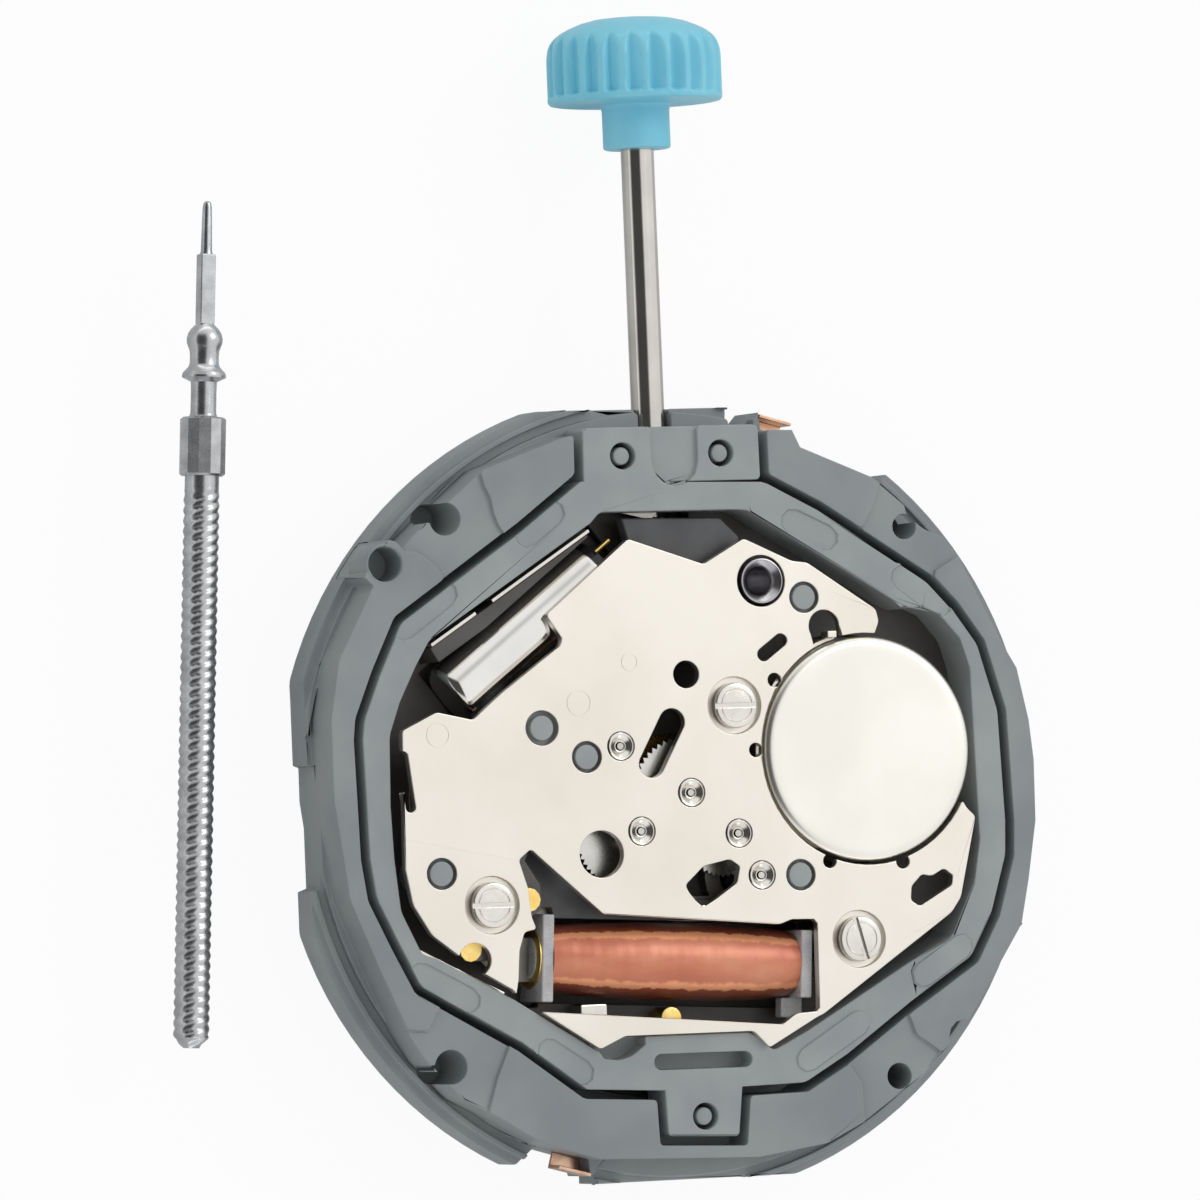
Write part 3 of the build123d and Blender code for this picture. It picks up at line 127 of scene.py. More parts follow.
# Stops are (place, colour, alpha)
def addRamp(tree, factor, stops):
    ramp = addNode(tree, "ShaderNodeValToRGB", links={"Fac": factor})
    elements = ramp.color_ramp.elements
    while len(elements) < len(stops):
        elements.new(0.5)
    for element, (place, colour, alpha) in zip(elements, stops):
        element.position = place
        element.color = (*linear(colour)[:3], alpha)
    return ramp


# Each finish: what it is made of and how its surface was made, then what the eye sees of it.
# patch and grain are real sizes in mm, bump is the grain's height in mm.
finishes = {
    # acetal from a spark-finished mould: even blue-grey, soft sheen, faint flow marks
    "mouldedAcetal": {
        "colours": ("#868D90", "#949A9B"), "patch": 3.0, "grain": 0.06,
        "roughness": (0.36, 0.48), "bump": 0.0025,
        "shader": {"IOR": 1.5},
    },
    # the frame is the same acetal from a smoother mould, a little paler
    "mouldedFrame": {
        "colours": ("#949B9D", "#A1A7A7"), "patch": 2.2, "grain": 0.05,
        "roughness": (0.32, 0.44), "bump": 0.002,
        "shader": {"IOR": 1.5},
    },
    # black filled polymer, moulded: brown-black with a dull gloss
    "filledPolymer": {
        "colours": ("#403D3A", "#52504D"), "patch": 1.5, "grain": 0.05,
        "roughness": (0.35, 0.55), "bump": 0.003,
        "shader": {"IOR": 1.55},
    },
    # smoke-grey polymer of the walls and covers beside the crystal and the stem
    "smokePolymer": {
        "colours": ("#4C4D4F", "#5C5D5F"), "patch": 1.2, "grain": 0.04,
        "roughness": (0.3, 0.42), "bump": 0.002,
        "shader": {"IOR": 1.52},
    },
    # rolled brass sheet, blanked and satin nickel plated: warm white, almost without direction
    "satinNickel": {
        "colours": ("#E0DACF", "#E8E3D9"), "patch": 4.0, "grain": 0.03,
        "roughness": (0.30, 0.40), "bump": 0.0012,
        "metallic": 1.0,
    },
    # bright nickel of the bearings, screws and small sheet parts
    "brightNickel": {
        "colours": ("#DAD6CE", "#E6E3DC"), "patch": 0.8, "grain": 0.05,
        "roughness": (0.14, 0.24), "bump": 0.001,
        "metallic": 1.0,
    },
    # stainless cell case, pressed and tumbled: pale and even, very fine haze
    "tumbledStainless": {
        "colours": ("#E9E6DD", "#F0EEE6"), "patch": 3.5, "grain": 0.04,
        "roughness": (0.28, 0.36), "bump": 0.0008,
        "metallic": 1.0,
    },
    # hardened steel, turned and polished along its axis
    "polishedSteel": {
        "colours": ("#C9C6C0", "#D6D3CD"), "patch": 1.5, "grain": 0.04, "stretch": (1, 0.04, 1),
        "roughness": (0.10, 0.18), "bump": 0.0006, "metallic": 1.0,
    },
    # steel wire, rolled and tumbled bright: the spare stem
    "tumbledSteel": {
        "colours": ("#B2B3B5", "#CACBCD"), "patch": 0.5, "grain": 0.07,
        "roughness": (0.2, 0.34), "bump": 0.0007,
        "metallic": 1.0,
    },
    # drawn can, bright nickel over brass: mirror-like with faint draw lines along it
    "drawnCan": {
        "colours": ("#E2E0DC", "#ECEBE8"), "patch": 2.0, "grain": 0.05,
        "stretch": (0.06, 1, 1), "turn": -37.5, "roughness": (0.08, 0.15), "bump": 0.0005, "metallic": 1.0,
    },
    # blackened steel tube, polished mouth
    "blackenedSteel": {
        "colours": ("#A3A0A6", "#B5B3B6"), "patch": 0.6, "grain": 0.04,
        "roughness": (0.18, 0.3), "bump": 0.001,
        "metallic": 1.0,
    },
    # brass wheels, hobbed and nickel plated: grey-white, faint lathe marks
    "platedWheel": {
        "colours": ("#C9C8C4", "#D8D7D3"), "patch": 0.7, "grain": 0.03,
        "roughness": (0.2, 0.32), "bump": 0.001,
        "metallic": 1.0,
    },
    # gilt brass of the hidden wheels
    "giltBrass": {
        "colours": ("#D2A955", "#E2BE6E"), "patch": 0.8, "grain": 0.03,
        "roughness": (0.2, 0.32), "bump": 0.001,
        "metallic": 1.0,
    },
    # electroplated gold on copper tracks: soft cream yellow
    "platedGold": {
        "colours": ("#F0CB72", "#FBDD92"), "patch": 0.4, "grain": 0.04,
        "roughness": (0.25, 0.4), "bump": 0.002,
        "metallic": 1.0,
    },
    # rolled copper alloy leaf, bent over the rim
    "rolledCopper": {
        "colours": ("#D0A184", "#E2BFA6"), "patch": 0.5, "grain": 0.04, "stretch": (1, 0.1, 1),
        "roughness": (0.18, 0.3), "bump": 0.001, "metallic": 1.0,
    },
    # annealed iron alloy, blanked: yellowish grey, matt
    "annealedIron": {
        "colours": ("#86837C", "#9A968D"), "patch": 0.8, "grain": 0.03,
        "roughness": (0.35, 0.5), "bump": 0.0015,
        "metallic": 1.0,
    },
    # natural nylon bobbin: cloudy grey, slightly see-through
    "cloudyNylon": {
        "colours": ("#B9B9BC", "#CFCFCF"), "patch": 0.6, "grain": 0.04,
        "roughness": (0.22, 0.32), "bump": 0.001,
        "shader": {
            "IOR": 1.53, "Transmission Weight": 0.08, "Subsurface Weight": 0.2, "Subsurface Scale": 0.0004,
        },
    },
    # glass-epoxy laminate under dark solder lacquer
    "lacquerLaminate": {
        "colours": ("#3A3835", "#4B4844"), "patch": 0.5, "grain": 0.05,
        "roughness": (0.2, 0.35), "bump": 0.002,
        "shader": {"IOR": 1.55, "Coat Weight": 0.4},
    },
    # sintered magnet: dark grey and open-grained
    "sinteredMagnet": {
        "colours": ("#3A3A3C", "#4A4A4C"), "patch": 0.2, "grain": 0.03,
        "roughness": (0.4, 0.6), "bump": 0.003,
        "metallic": 1.0,
    },
    # fused glass seal of the crystal: black, glossy
    "fusedGlass": {
        "colours": ("#17181A", "#222326"), "patch": 0.4, "grain": 0.05,
        "roughness": (0.05, 0.15), "bump": 0.0005,
        "shader": {"IOR": 1.52},
    },
    # moulded nylon seal of the cell: milky and smooth
    "milkyNylon": {
        "colours": ("#8D8A84", "#A09D96"), "patch": 0.5, "grain": 0.05,
        "roughness": (0.3, 0.4), "bump": 0.001,
        "shader": {"IOR": 1.53, "Subsurface Weight": 0.2, "Subsurface Scale": 0.0003},
    },
    # amber polyimide film under the cell
    "amberFilm": {
        "colours": ("#8A4E14", "#A8651F"), "patch": 0.8, "grain": 0.04,
        "roughness": (0.12, 0.2), "bump": 0.0006,
        "shader": {"IOR": 1.6, "Coat Weight": 0.3},
    },
    # injection moulded nylon knob: sky blue, satin, slightly waxy
    "skyNylon": {
        "colours": ("#7CD2EA", "#8ADAF0"), "patch": 2.0, "grain": 0.06,
        "roughness": (0.30, 0.42), "bump": 0.0025,
        "shader": {"IOR": 1.5, "Subsurface Weight": 0.15, "Subsurface Scale": 0.0006},
    },
}


finishSettings = {
    "detail": 3.0,
    "tintPlaces": (0.35, 0.65),  # of the patches' noise, where each colour is reached
    "bumpStrength": 0.6,
}


def makeFinish(name, spec, settings):
    material = bpy.data.materials.new(name)
    tree = emptyTree(material)
    coords = addNode(tree, "ShaderNodeTexCoord").outputs["Object"]
    turn = {"Rotation": (0, 0, math.radians(spec.get("turn", 0)))}
    turned = addNode(tree, "ShaderNodeMapping", turn, {"Vector": coords})
    stretch = {"Scale": spec.get("stretch", (1, 1, 1))}
    drawn = addNode(tree, "ShaderNodeMapping", stretch, {"Vector": turned.outputs["Vector"]})
    patches = addNoise(tree, coords, spec["patch"], settings["detail"])
    grain = addNoise(tree, drawn.outputs["Vector"], spec["grain"], settings["detail"])
    stops = [(place, colour, 1.0) for place, colour in zip(settings["tintPlaces"], spec["colours"])]
    tint = addRamp(tree, patches, stops)
    low, high = spec["roughness"]
    rough = addNode(tree, "ShaderNodeMapRange", {"To Min": low, "To Max": high}, {"Value": grain})
    relief = {"Strength": settings["bumpStrength"], "Distance": spec["bump"] * mm}
    bump = addNode(tree, "ShaderNodeBump", relief, {"Height": grain})
    values = {"Metallic": spec.get("metallic", 0.0), **spec.get("shader", {})}
    links = {
        "Base Color": tint.outputs["Color"], "Roughness": rough.outputs["Result"],
        "Normal": bump.outputs["Normal"],
    }
    shader = addNode(tree, "ShaderNodeBsdfPrincipled", values, links)
    addNode(tree, "ShaderNodeOutputMaterial", links={"Surface": shader.outputs["BSDF"]})
    return material


materials = {name: makeFinish(name, spec, finishSettings) for name, spec in finishes.items()}

coilLook = {
    "place": (-0.5, -5.02, 1.75),
    "turn": -3.4,  # degrees
    "colours": [(0.3, "#BC5C3A", 1.0), (0.5, "#D47F5A", 1.0), (0.72, "#E39E7A", 1.0)],
    "sides": [  # degrees from the top, colour, share of it: a painted highlight on both shoulders, painted shade on the lower sides
        (0, "#C8704F", 0.0), (31, "#C8704F", 0.5), (36, "#FFAA76", 0.9), (45.5, "#FFB488", 0.95),
        (48.5, "#A04A2C", 0.9), (62, "#74301C", 0.9), (180, "#74301C", 0.9),
    ],
    "wander": 12.0,  # degrees that the edges of the painted highlight and the painted shade stray
    "fray": (0.5, 6.0, 0.75),  # of that stray: size in mm, detail, roughness
    "wire": 0.07,  # mm between turns; the real wire is 0.02, too fine to show
    "waveTurn": 0.314,  # the wave texture repeats after this over its scale
    "waver": 1.2,
    "lineHeight": 0.004,  # mm
    "lineStrength": 0.5,
    "patch": 1.1,
    "patchDetail": 4.0,
    "smear": 0.35,  # noise scale along the coil; below 1 it draws the patches out that way
    "roughness": (0.24, 0.42),
    "shader": {"Metallic": 0.3, "Coat Weight": 0.8, "Coat Roughness": 0.35},
}


# Enamelled copper wire wound in layers: satin copper with fine lines round it, a painted highlight
# along both shoulders, and painted shade on the lower sides
def makeWireFinish(look):
    material = bpy.data.materials.new("enamelledWire")
    tree = emptyTree(material)
    coords = addNode(tree, "ShaderNodeTexCoord")
    centred = addNode(tree, "ShaderNodeVectorMath", {"operation": "SUBTRACT"}, {0: coords.outputs["Object"]})
    centred.inputs[1].default_value = Vector(look["place"]) * mm
    turn = {"Rotation": (0, 0, math.radians(-look["turn"]))}
    along = addNode(tree, "ShaderNodeMapping", turn, {"Vector": centred.outputs["Vector"]}).outputs["Vector"]
    split = addNode(tree, "ShaderNodeSeparateXYZ", links={"Vector": along})
    across = addMath(tree, "ABSOLUTE", split.outputs["Y"])
    angle = addMath(tree, "ARCTAN2", across, split.outputs["Z"])
    wander = math.radians(look["wander"])
    frayed = addNoise(tree, along, *look["fray"])
    stray = addNode(tree, "ShaderNodeMapRange", {"To Min": -wander, "To Max": wander}, {"Value": frayed})
    wandering = addMath(tree, "ADD", angle, stray.outputs["Result"])
    share = addMath(tree, "DIVIDE", wandering, math.pi)
    # The sides ramp paints a highlight on both shoulders and shade on the lower sides, by the angle round
    # the coil
    stops = [(degrees / 180, colour, amount) for degrees, colour, amount in look["sides"]]
    sides = addRamp(tree, share, stops)
    bands = {"wave_type": "BANDS", "bands_direction": "X", "Distortion": look["waver"], "Detail": 2.0}
    bands["Scale"] = look["waveTurn"] / (look["wire"] * mm)
    lines = addNode(tree, "ShaderNodeTexWave", bands, {"Vector": along})
    smears = addNode(tree, "ShaderNodeMapping", {"Scale": (look["smear"], 1, 1)}, {"Vector": along})
    patches = addNoise(tree, smears.outputs["Vector"], look["patch"], look["patchDetail"])
    tint = addRamp(tree, patches, look["colours"])
    low, high = look["roughness"]
    rough = addNode(tree, "ShaderNodeMapRange", {"To Min": high, "To Max": low}, {"Value": patches})
    relief = {"Strength": look["lineStrength"], "Distance": look["lineHeight"] * mm}
    bump = addNode(tree, "ShaderNodeBump", relief, {"Height": lines.outputs["Fac"]})
    # The copper tint with the painted highlight and the painted shade laid over it
    mixed = {0: sides.outputs["Alpha"], 6: tint.outputs["Color"], 7: sides.outputs["Color"]}
    copperWithPaintedLight = addNode(tree, "ShaderNodeMix", {"data_type": "RGBA"}, mixed)
    links = {
        "Base Color": copperWithPaintedLight.outputs[2], "Roughness": rough.outputs["Result"],
        "Normal": bump.outputs["Normal"],
    }
    shader = addNode(tree, "ShaderNodeBsdfPrincipled", look["shader"], links)
    addNode(tree, "ShaderNodeOutputMaterial", links={"Surface": shader.outputs["BSDF"]})
    return material


materials["enamelledWire"] = makeWireFinish(coilLook)
print("materials ready:", len(materials))

# Which finish each node has, also where a new piece stands in for it
nodeFinish = {
    "mouldedAcetal": ["casing_ring"],
    "mouldedFrame": ["movement_frame", "locating_posts", "tab_pins"],
    "filledPolymer": ["main_plate", "cover_plate", "circuit_spacer", "timing_chip"],
    "smokePolymer": ["motor_cover", "setting_cover"],
    "satinNickel": ["bridge_plate", "battery_clamp", "setting_lever", "clutch_yoke"],
    "brightNickel": [
        "bridge_bearings", "bridge_screws", "shield_strips", "negative_contact", "coil_terminals",
    ],
    "tumbledStainless": ["battery_can", "battery_cap"],
    "polishedSteel": [
        "setting_stem", "sliding_pinion", "setting_wheel", "idle_wheel", "rotor_pinion", "fifth_pinion",
        "seconds_arbor", "third_pinion", "minute_pinion", "cannon_pinion",
    ],
    "tumbledSteel": ["spare_stem"],
    "drawnCan": ["crystal_can"],
    "blackenedSteel": ["guide_tube"],
    "platedWheel": ["fifth_wheel", "seconds_wheel", "third_wheel"],
    "giltBrass": ["centre_wheel", "minute_wheel", "hour_wheel"],
    "platedGold": ["contact_pads", "crystal_leads"],
    "rolledCopper": ["dial_clips"],
    "annealedIron": ["coil_core", "stator"],
    "cloudyNylon": ["coil_bobbin"],
    "lacquerLaminate": ["circuit_board"],
    "sinteredMagnet": ["rotor_magnet"],
    "fusedGlass": ["crystal_header"],
    "milkyNylon": ["battery_gasket"],
    "amberFilm": ["battery_insulator"],
    "skyNylon": ["setting_knob"],
    "enamelledWire": ["coil_winding"],
}
finishOf = {node: name for name, members in nodeFinish.items() for node in members}
for node, name in finishOf.items():
    for slot in nodes[node].material_slots:
        slot.material = materials[name]


def activate(piece):
    bpy.ops.object.select_all(action="DESELECT")
    piece.select_set(True)
    bpy.context.view_layer.objects.active = piece


def applyModifier(piece, kind, settings):
    modifier = piece.modifiers.new("step", kind)
    for key, value in settings.items():
        setattr(modifier, key, value)
    activate(piece)
    bpy.ops.object.modifier_apply(modifier=modifier.name)


def joinPieces(pieces):
    bpy.ops.object.select_all(action="DESELECT")
    for piece in pieces:
        piece.select_set(True)
    bpy.context.view_layer.objects.active = pieces[0]
    bpy.ops.object.transform_apply(location=True, rotation=True, scale=True)
    if len(pieces) > 1:
        bpy.ops.object.join()
    return bpy.context.object


def cutWith(piece, cutters):
    tool = joinPieces(cutters)
    settings = {"object": tool, "operation": "DIFFERENCE", "solver": "EXACT", "use_self": True}
    applyModifier(piece, "BOOLEAN", settings)
    bpy.data.objects.remove(tool)


# Rounds the edges and keeps the flats flat, as a mould or a tumbling barrel leaves them
def softenEdges(piece, width, segments=2, angle=32):
    settings = {"width": width, "segments": segments, "limit_method": "ANGLE", "use_clamp_overlap": False}
    applyModifier(piece, "BEVEL", {**settings, "angle_limit": math.radians(angle)})


# Where edges run together the rounding can throw a point off: it goes back to the node's surface
def pullBack(piece, node, reach):
    count = 0
    for vertex in piece.data.vertices:
        found, place = nodes[node].closest_point_on_mesh(vertex.co * mm)[:2]
        if found and (place / mm - vertex.co).length > reach:
            vertex.co = place / mm
            count += 1
    print("pulled back on", node, count)


# With a name of its own a piece is added beside the node's, and else it stands in for the node
def finishPiece(piece, node, finish=None, name=None, smooth=40, others=()):
    piece.name = name or node + "Look"
    activate(piece)
    bpy.ops.object.transform_apply(location=True, rotation=True, scale=True)
    bpy.ops.object.shade_smooth_by_angle(angle=math.radians(smooth))
    applyModifier(piece, "WEIGHTED_NORMAL", {"keep_sharp": True, "weight": 60})
    piece.data.transform(Matrix.Scale(mm, 4))
    piece.data.materials.clear()
    piece.data.materials.append(materials[finish or finishOf[node]])
    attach(piece, bodyOf[node])
    if name is None:
        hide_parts(node, *others)


# A node's own shape in millimetres, merged and with its flats whole, to be given holes and rounded edges
def copyNode(node):
    piece = bpy.data.objects.new(node + "Copy", nodes[node].data.copy())
    bpy.context.scene.collection.objects.link(piece)
    piece.data.transform(Matrix.Scale(1 / mm, 4))
    activate(piece)
    bpy.ops.object.mode_set(mode="EDIT")
    bpy.ops.mesh.select_all(action="SELECT")
    bpy.ops.mesh.remove_doubles(threshold=0.001)
    bpy.ops.mesh.tris_convert_to_quads(face_threshold=math.radians(1), shape_threshold=math.radians(180))
    bpy.ops.object.mode_set(mode="OBJECT")
    return piece


# Turns a piece about the origin, then puts it in place
def movePiece(piece, degrees, place=(0, 0, 0)):
    piece.rotation_euler = [math.radians(angle) for angle in degrees]
    piece.location = place
    return joinPieces([piece])


def addBlock(size, place=(0, 0, 0), turn=0):
    bpy.ops.object.select_all(action="DESELECT")
    bpy.ops.mesh.primitive_cube_add(size=1, location=place, rotation=(0, 0, math.radians(turn)))
    bpy.context.object.scale = size
    return bpy.context.object


def roundBar(x, y, radius, low, high, sides=48):
    bpy.ops.object.select_all(action="DESELECT")
    place = (x, y, (low + high) / 2)
    bpy.ops.mesh.primitive_cylinder_add(vertices=sides, radius=radius, depth=high - low, location=place)
    return bpy.context.object


# A bar with round ends from one point to another
def longBar(start, end, width, low, high, sides=48):
    first, last = Vector((*start, 0)), Vector((*end, 0))
    along = last - first
    middle = (first + last) / 2
    piece = roundBar(0, 0, width / 2, low, high, sides)
    joinPieces([piece])
    for vertex in piece.data.vertices:
        side = 1 if vertex.co.dot(along) > 1e-6 else -1
        vertex.co += middle + along * side / 2
    return piece


# A profile of (radius, height) points spun round the upright axis
def spinProfile(profile, steps=48, place=(0, 0, 0)):
    bpy.ops.object.select_all(action="DESELECT")
    bpy.ops.mesh.primitive_plane_add(size=1)
    piece = bpy.context.object
    bpy.ops.object.mode_set(mode="EDIT")
    bpy.ops.mesh.select_all(action="SELECT")
    bpy.ops.mesh.merge(type="CENTER")
    bpy.ops.transform.translate(value=(profile[0][0], 0, profile[0][1]))
    for before, after in zip(profile, profile[1:]):
        move = (after[0] - before[0], 0, after[1] - before[1])
        bpy.ops.mesh.extrude_region_move(TRANSFORM_OT_translate={"value": move})
    bpy.ops.mesh.select_all(action="SELECT")
    bpy.ops.mesh.spin(steps=steps, angle=2 * math.pi, center=(0, 0, 0), axis=(0, 0, 1))
    bpy.ops.mesh.select_all(action="SELECT")
    bpy.ops.mesh.remove_doubles(threshold=0.0004)
    bpy.ops.mesh.normals_make_consistent(inside=False)
    bpy.ops.object.mode_set(mode="OBJECT")
    piece.location = place
    return piece


def shareToMm(share):
    return halfWidth * share[0], halfWidth * share[1]


cornerSettings = {
    "segments": 3,
    "shortest": 0.04,  # mm, an upright edge that counts as a corner
    "lean": 0.001,  # mm, how far it may lean
    "least": 12,  # degrees between its walls
    "room": 2.4,  # times the radius, the length of wall that each side needs
}


# Upright corners between long walls get a moulded or blanked radius
def roundCorners(piece, radius, settings):
    activate(piece)
    bpy.ops.object.mode_set(mode="EDIT")
    bpy.ops.mesh.select_mode(type="EDGE")
    bpy.ops.mesh.select_all(action="DESELECT")
    shape = bmesh.from_edit_mesh(piece.data)
    count = 0
    for edge in shape.edges:
        run = edge.verts[1].co - edge.verts[0].co
        if len(edge.link_faces) != 2 or abs(run.z) < settings["shortest"]:
            continue
        if math.hypot(run.x, run.y) > settings["lean"]:
            continue
        if math.degrees(edge.calc_face_angle(0)) < settings["least"]:
            continue
        widths = []
        for face in edge.link_faces:
            flat = [Vector((v.co.x, v.co.y)) for v in face.verts]
            corner = Vector((edge.verts[0].co.x, edge.verts[0].co.y))
            widths.append(max((point - corner).length for point in flat))
        if min(widths) > settings["room"] * radius:
            edge.select_set(True)
            count += 1
    bmesh.update_edit_mesh(piece.data)
    if count:
        bpy.ops.mesh.bevel(offset=radius, segments=settings["segments"], affect="EDGES", clamp_overlap=True)
    bpy.ops.mesh.select_mode(type="VERT")
    bpy.ops.object.mode_set(mode="OBJECT")
    print(piece.name, "corners:", count)


recut = 0.012  # mm, how much wider a hole is cut again, clear of the node's own facets
overrun = 0.5  # mm, how far a cutter stands out of the surface
fineSteps = 64  # sides of a round surface that is seen from close by
ringSettings = {
    "bevel": 0.035,
    "corner": 0.16,
    "reach": 0.11,
    "height": 2.8,
    "holes": [(-0.650, 0.730, 0.48), (0.655, 0.679, 0.37), (-0.693, -0.685, 0.5), (0.577, -0.763, 0.38)],
    "holeFloor": 0.5,
    "boss": (-0.826, 0.617),  # round one more hole, which ends above the flange
    "bossHole": 0.51,
    "bossFloor": 1.5,
    "plug": (0.6, 0.45),  # radius and lower end of what fills that hole below its floor
    "bossProfile": [
        (0, 1.45), (0.63, 1.45), (0.64, 2.7), (0.63, 2.76), (0.605, 2.795), (0.575, 2.81), (0.545, 2.795),
        (0.52, 2.76), (0.51, 2.7), (0.51, 1.6), (0.48, 1.56), (0, 1.56),
    ],
    "outside": [(12.21, 0.3), (13.5, 0.3), (13.5, 3.2), (12.21, 3.2), (12.21, 0.3)],  # cut away all round
    "outsideSteps": 256,
    "ledge": ((-3.1, -8.85), (-0.2, -8.95), 0.7, 0.15, 0.5),  # closes the gap under the frame's lower tab
}


def makeRing(settings):
    bossX, bossY = shareToMm(settings["boss"])
    plugRadius, plugLow = settings["plug"]
    top = settings["height"] + overrun
    plug = roundBar(bossX, bossY, plugRadius, plugLow, settings["bossFloor"] + recut)
    piece = joinPieces([copyNode("casing_ring"), plug])
    cutters = [spinProfile(settings["outside"], settings["outsideSteps"])]
    cutters.append(roundBar(bossX, bossY, settings["bossHole"] + recut, settings["bossFloor"], top))
    for x, y, radius in settings["holes"]:
        cutters.append(roundBar(*shareToMm((x, y)), radius + recut, settings["holeFloor"] - recut, top))
    cutWith(piece, cutters)
    roundCorners(piece, settings["corner"], cornerSettings)
    softenEdges(piece, settings["bevel"])
    pullBack(piece, "casing_ring", settings["reach"])
    boss = spinProfile(settings["bossProfile"], fineSteps, (bossX, bossY, 0))
    finishPiece(joinPieces([piece, boss, longBar(*settings["ledge"])]), "casing_ring")


frameSettings = {
    "bevel": 0.045,
    "reach": 0.11,
    "corner": 0.14,
    "tabHoles": [(-0.147, 0.882), (0.132, 0.884), (0.013, -0.843)],
    "tabHoleRadius": 0.39,
    "tabHoleFloor": 1.54,
    "slot": [(-0.105, -0.697), (0.131, -0.699)],
    "slotWidth": 0.45,
    "slotFloor": 2.0,
    "height": 2.8,
}


def makeFrame(settings):
    piece = copyNode("movement_frame")
    top = settings["height"] + overrun
    radius, floor = settings["tabHoleRadius"] + recut, settings["tabHoleFloor"] - recut
    cutters = [roundBar(*shareToMm(place), radius, floor, top) for place in settings["tabHoles"]]
    ends = [shareToMm(place) for place in settings["slot"]]
    cutters.append(longBar(*ends, settings["slotWidth"] + 2 * recut, settings["slotFloor"] - recut, top))
    cutWith(piece, cutters)
    roundCorners(piece, settings["corner"], cornerSettings)
    softenEdges(piece, settings["bevel"])
    pullBack(piece, "movement_frame", settings["reach"])
    finishPiece(piece, "movement_frame")


bridgeSettings = {
    "low": 2.4,
    "high": 3.3,
    "top": 3.05,
    "corner": 0.09,
    "bevel": 0.03,
    "reach": 0.2,
    "bearings": [(0, 0), (2.2, -2.55), (1.5, -1.27), (-1.67, -1.1), (-2.24, 1.46)],  # mm
    "bearingRadius": 0.42,
    # from here on places are shares of the half width, and radius or width is in mm
    "posts": [
        (0.343, 0.500, 0.458), (-0.415, 0.181, 0.51), (-0.292, 0.102, 0.458), (-0.711, -0.186, 0.458),
        (0.302, -0.225, 0.458),
    ],
    "tube": (0.222, 0.546, 0.76),
    "holes": [
        (-0.002, 0.308, 0.4), (-0.261, -0.151, 0.69), (0.249, 0.286, 0.2), (0.188, 0.105, 0.2),
        (0.387, -0.192, 0.2), (0.597, -0.201, 0.2), (0.397, 0.423, 0.48), (-0.628, -0.412, 0.5),
    ],
    "slots": [
        ((-0.048, 0.185), (-0.109, 0.078), 0.8), ((0.222, 0.354), (0.271, 0.389), 0.39),
        ((-0.806, 0.120), (-0.790, -0.012), 0.28), ((0.397, 0.423), (0.408, 0.380), 0.94),
    ],
    "screws": [(0.132, 0.223), (-0.574, -0.272), (0.462, -0.399)],
    "dishRadius": 0.86,
    "dishDepth": 0.16,
    # raised rings: place, outer radius, width
    "stamps": [(-0.3083, 0.2426, 0.4, 0.05), (-0.7067, 0.1721, 0.38, 0.05), (-0.1597, 0.3447, 0.3, 0.1)],
    "scoredLine": ((-0.805, -0.094), (-0.4944, -0.158), 0.04),
    "markRoot": 0.05,  # how deep the marks stand in the plate
    "markRise": 0.012,
    "markFlank": 0.2,  # of the width
}


def makeBridge(settings):
    piece = copyNode("bridge_plate")
    low, high, top = settings["low"], settings["high"], settings["top"]
    cutters = [roundBar(x, y, settings["bearingRadius"] + recut, low, high) for x, y in settings["bearings"]]
    for x, y, radius in settings["posts"] + [settings["tube"]] + settings["holes"]:
        cutters.append(roundBar(*shareToMm((x, y)), radius + recut, low, high))
    for start, end, width in settings["slots"]:
        cutters.append(longBar(shareToMm(start), shareToMm(end), width + 2 * recut, low, high))
    floor = top - settings["dishDepth"]
    for place in settings["screws"]:
        cutters.append(roundBar(*shareToMm(place), settings["dishRadius"], floor, high, fineSteps))
    cutWith(piece, cutters)
    roundCorners(piece, settings["corner"], cornerSettings)
    softenEdges(piece, settings["bevel"])
    pullBack(piece, "bridge_plate", settings["reach"])
    pieces = [piece]
    under, crest = top - settings["markRoot"], top + settings["markRise"]
    for x, y, outer, width in settings["stamps"]:
        inner, flank = outer - width, settings["markFlank"] * width
        profile = [
            (inner, under), (inner + flank, crest), (outer - flank, crest), (outer, under), (inner, under),
        ]
        pieces.append(spinProfile(profile, fineSteps, (*shareToMm((x, y)), 0)))
    start, end, width = settings["scoredLine"]
    pieces.append(longBar(shareToMm(start), shareToMm(end), width, under, crest, 8))
    finishPiece(joinPieces(pieces), "bridge_plate")


makeRing(ringSettings)
makeFrame(frameSettings)
makeBridge(bridgeSettings)
print("ring, frame and bridge ready")

# What keeps its own shape and only has its edges rounded: the width of the rounding in mm
softened = {
    "dial_clips": 0.02, "battery_clamp": 0.025, "coil_core": 0.03, "stator": 0.03, "motor_cover": 0.05,
    "setting_cover": 0.06, "circuit_board": 0.02, "main_plate": 0.04, "contact_pads": 0.02,
    "setting_lever": 0.02, "clutch_yoke": 0.02,
}
for node, width in softened.items():
    piece = copyNode(node)
    softenEdges(piece, width)
    finishPiece(piece, node)
print("softened pieces ready:", len(softened))


def boxBar(size, place, turn, bevel):
    piece = addBlock(size)
    joinPieces([piece])
    softenEdges(piece, bevel)
    return movePiece(piece, (0, 0, turn), place)


stripSettings = {
    "ends": [  # start, end, top
        ((-0.705, 0.404), (-0.577, 0.484), 2.76), ((-0.530, 0.514), (-0.250, 0.690), 2.76),
        ((-0.757, -0.380), (-0.520, -0.503), 2.2),
    ],
    "thickness": 0.1,
    "low": 1.1,
    "bevel": 0.02,
}


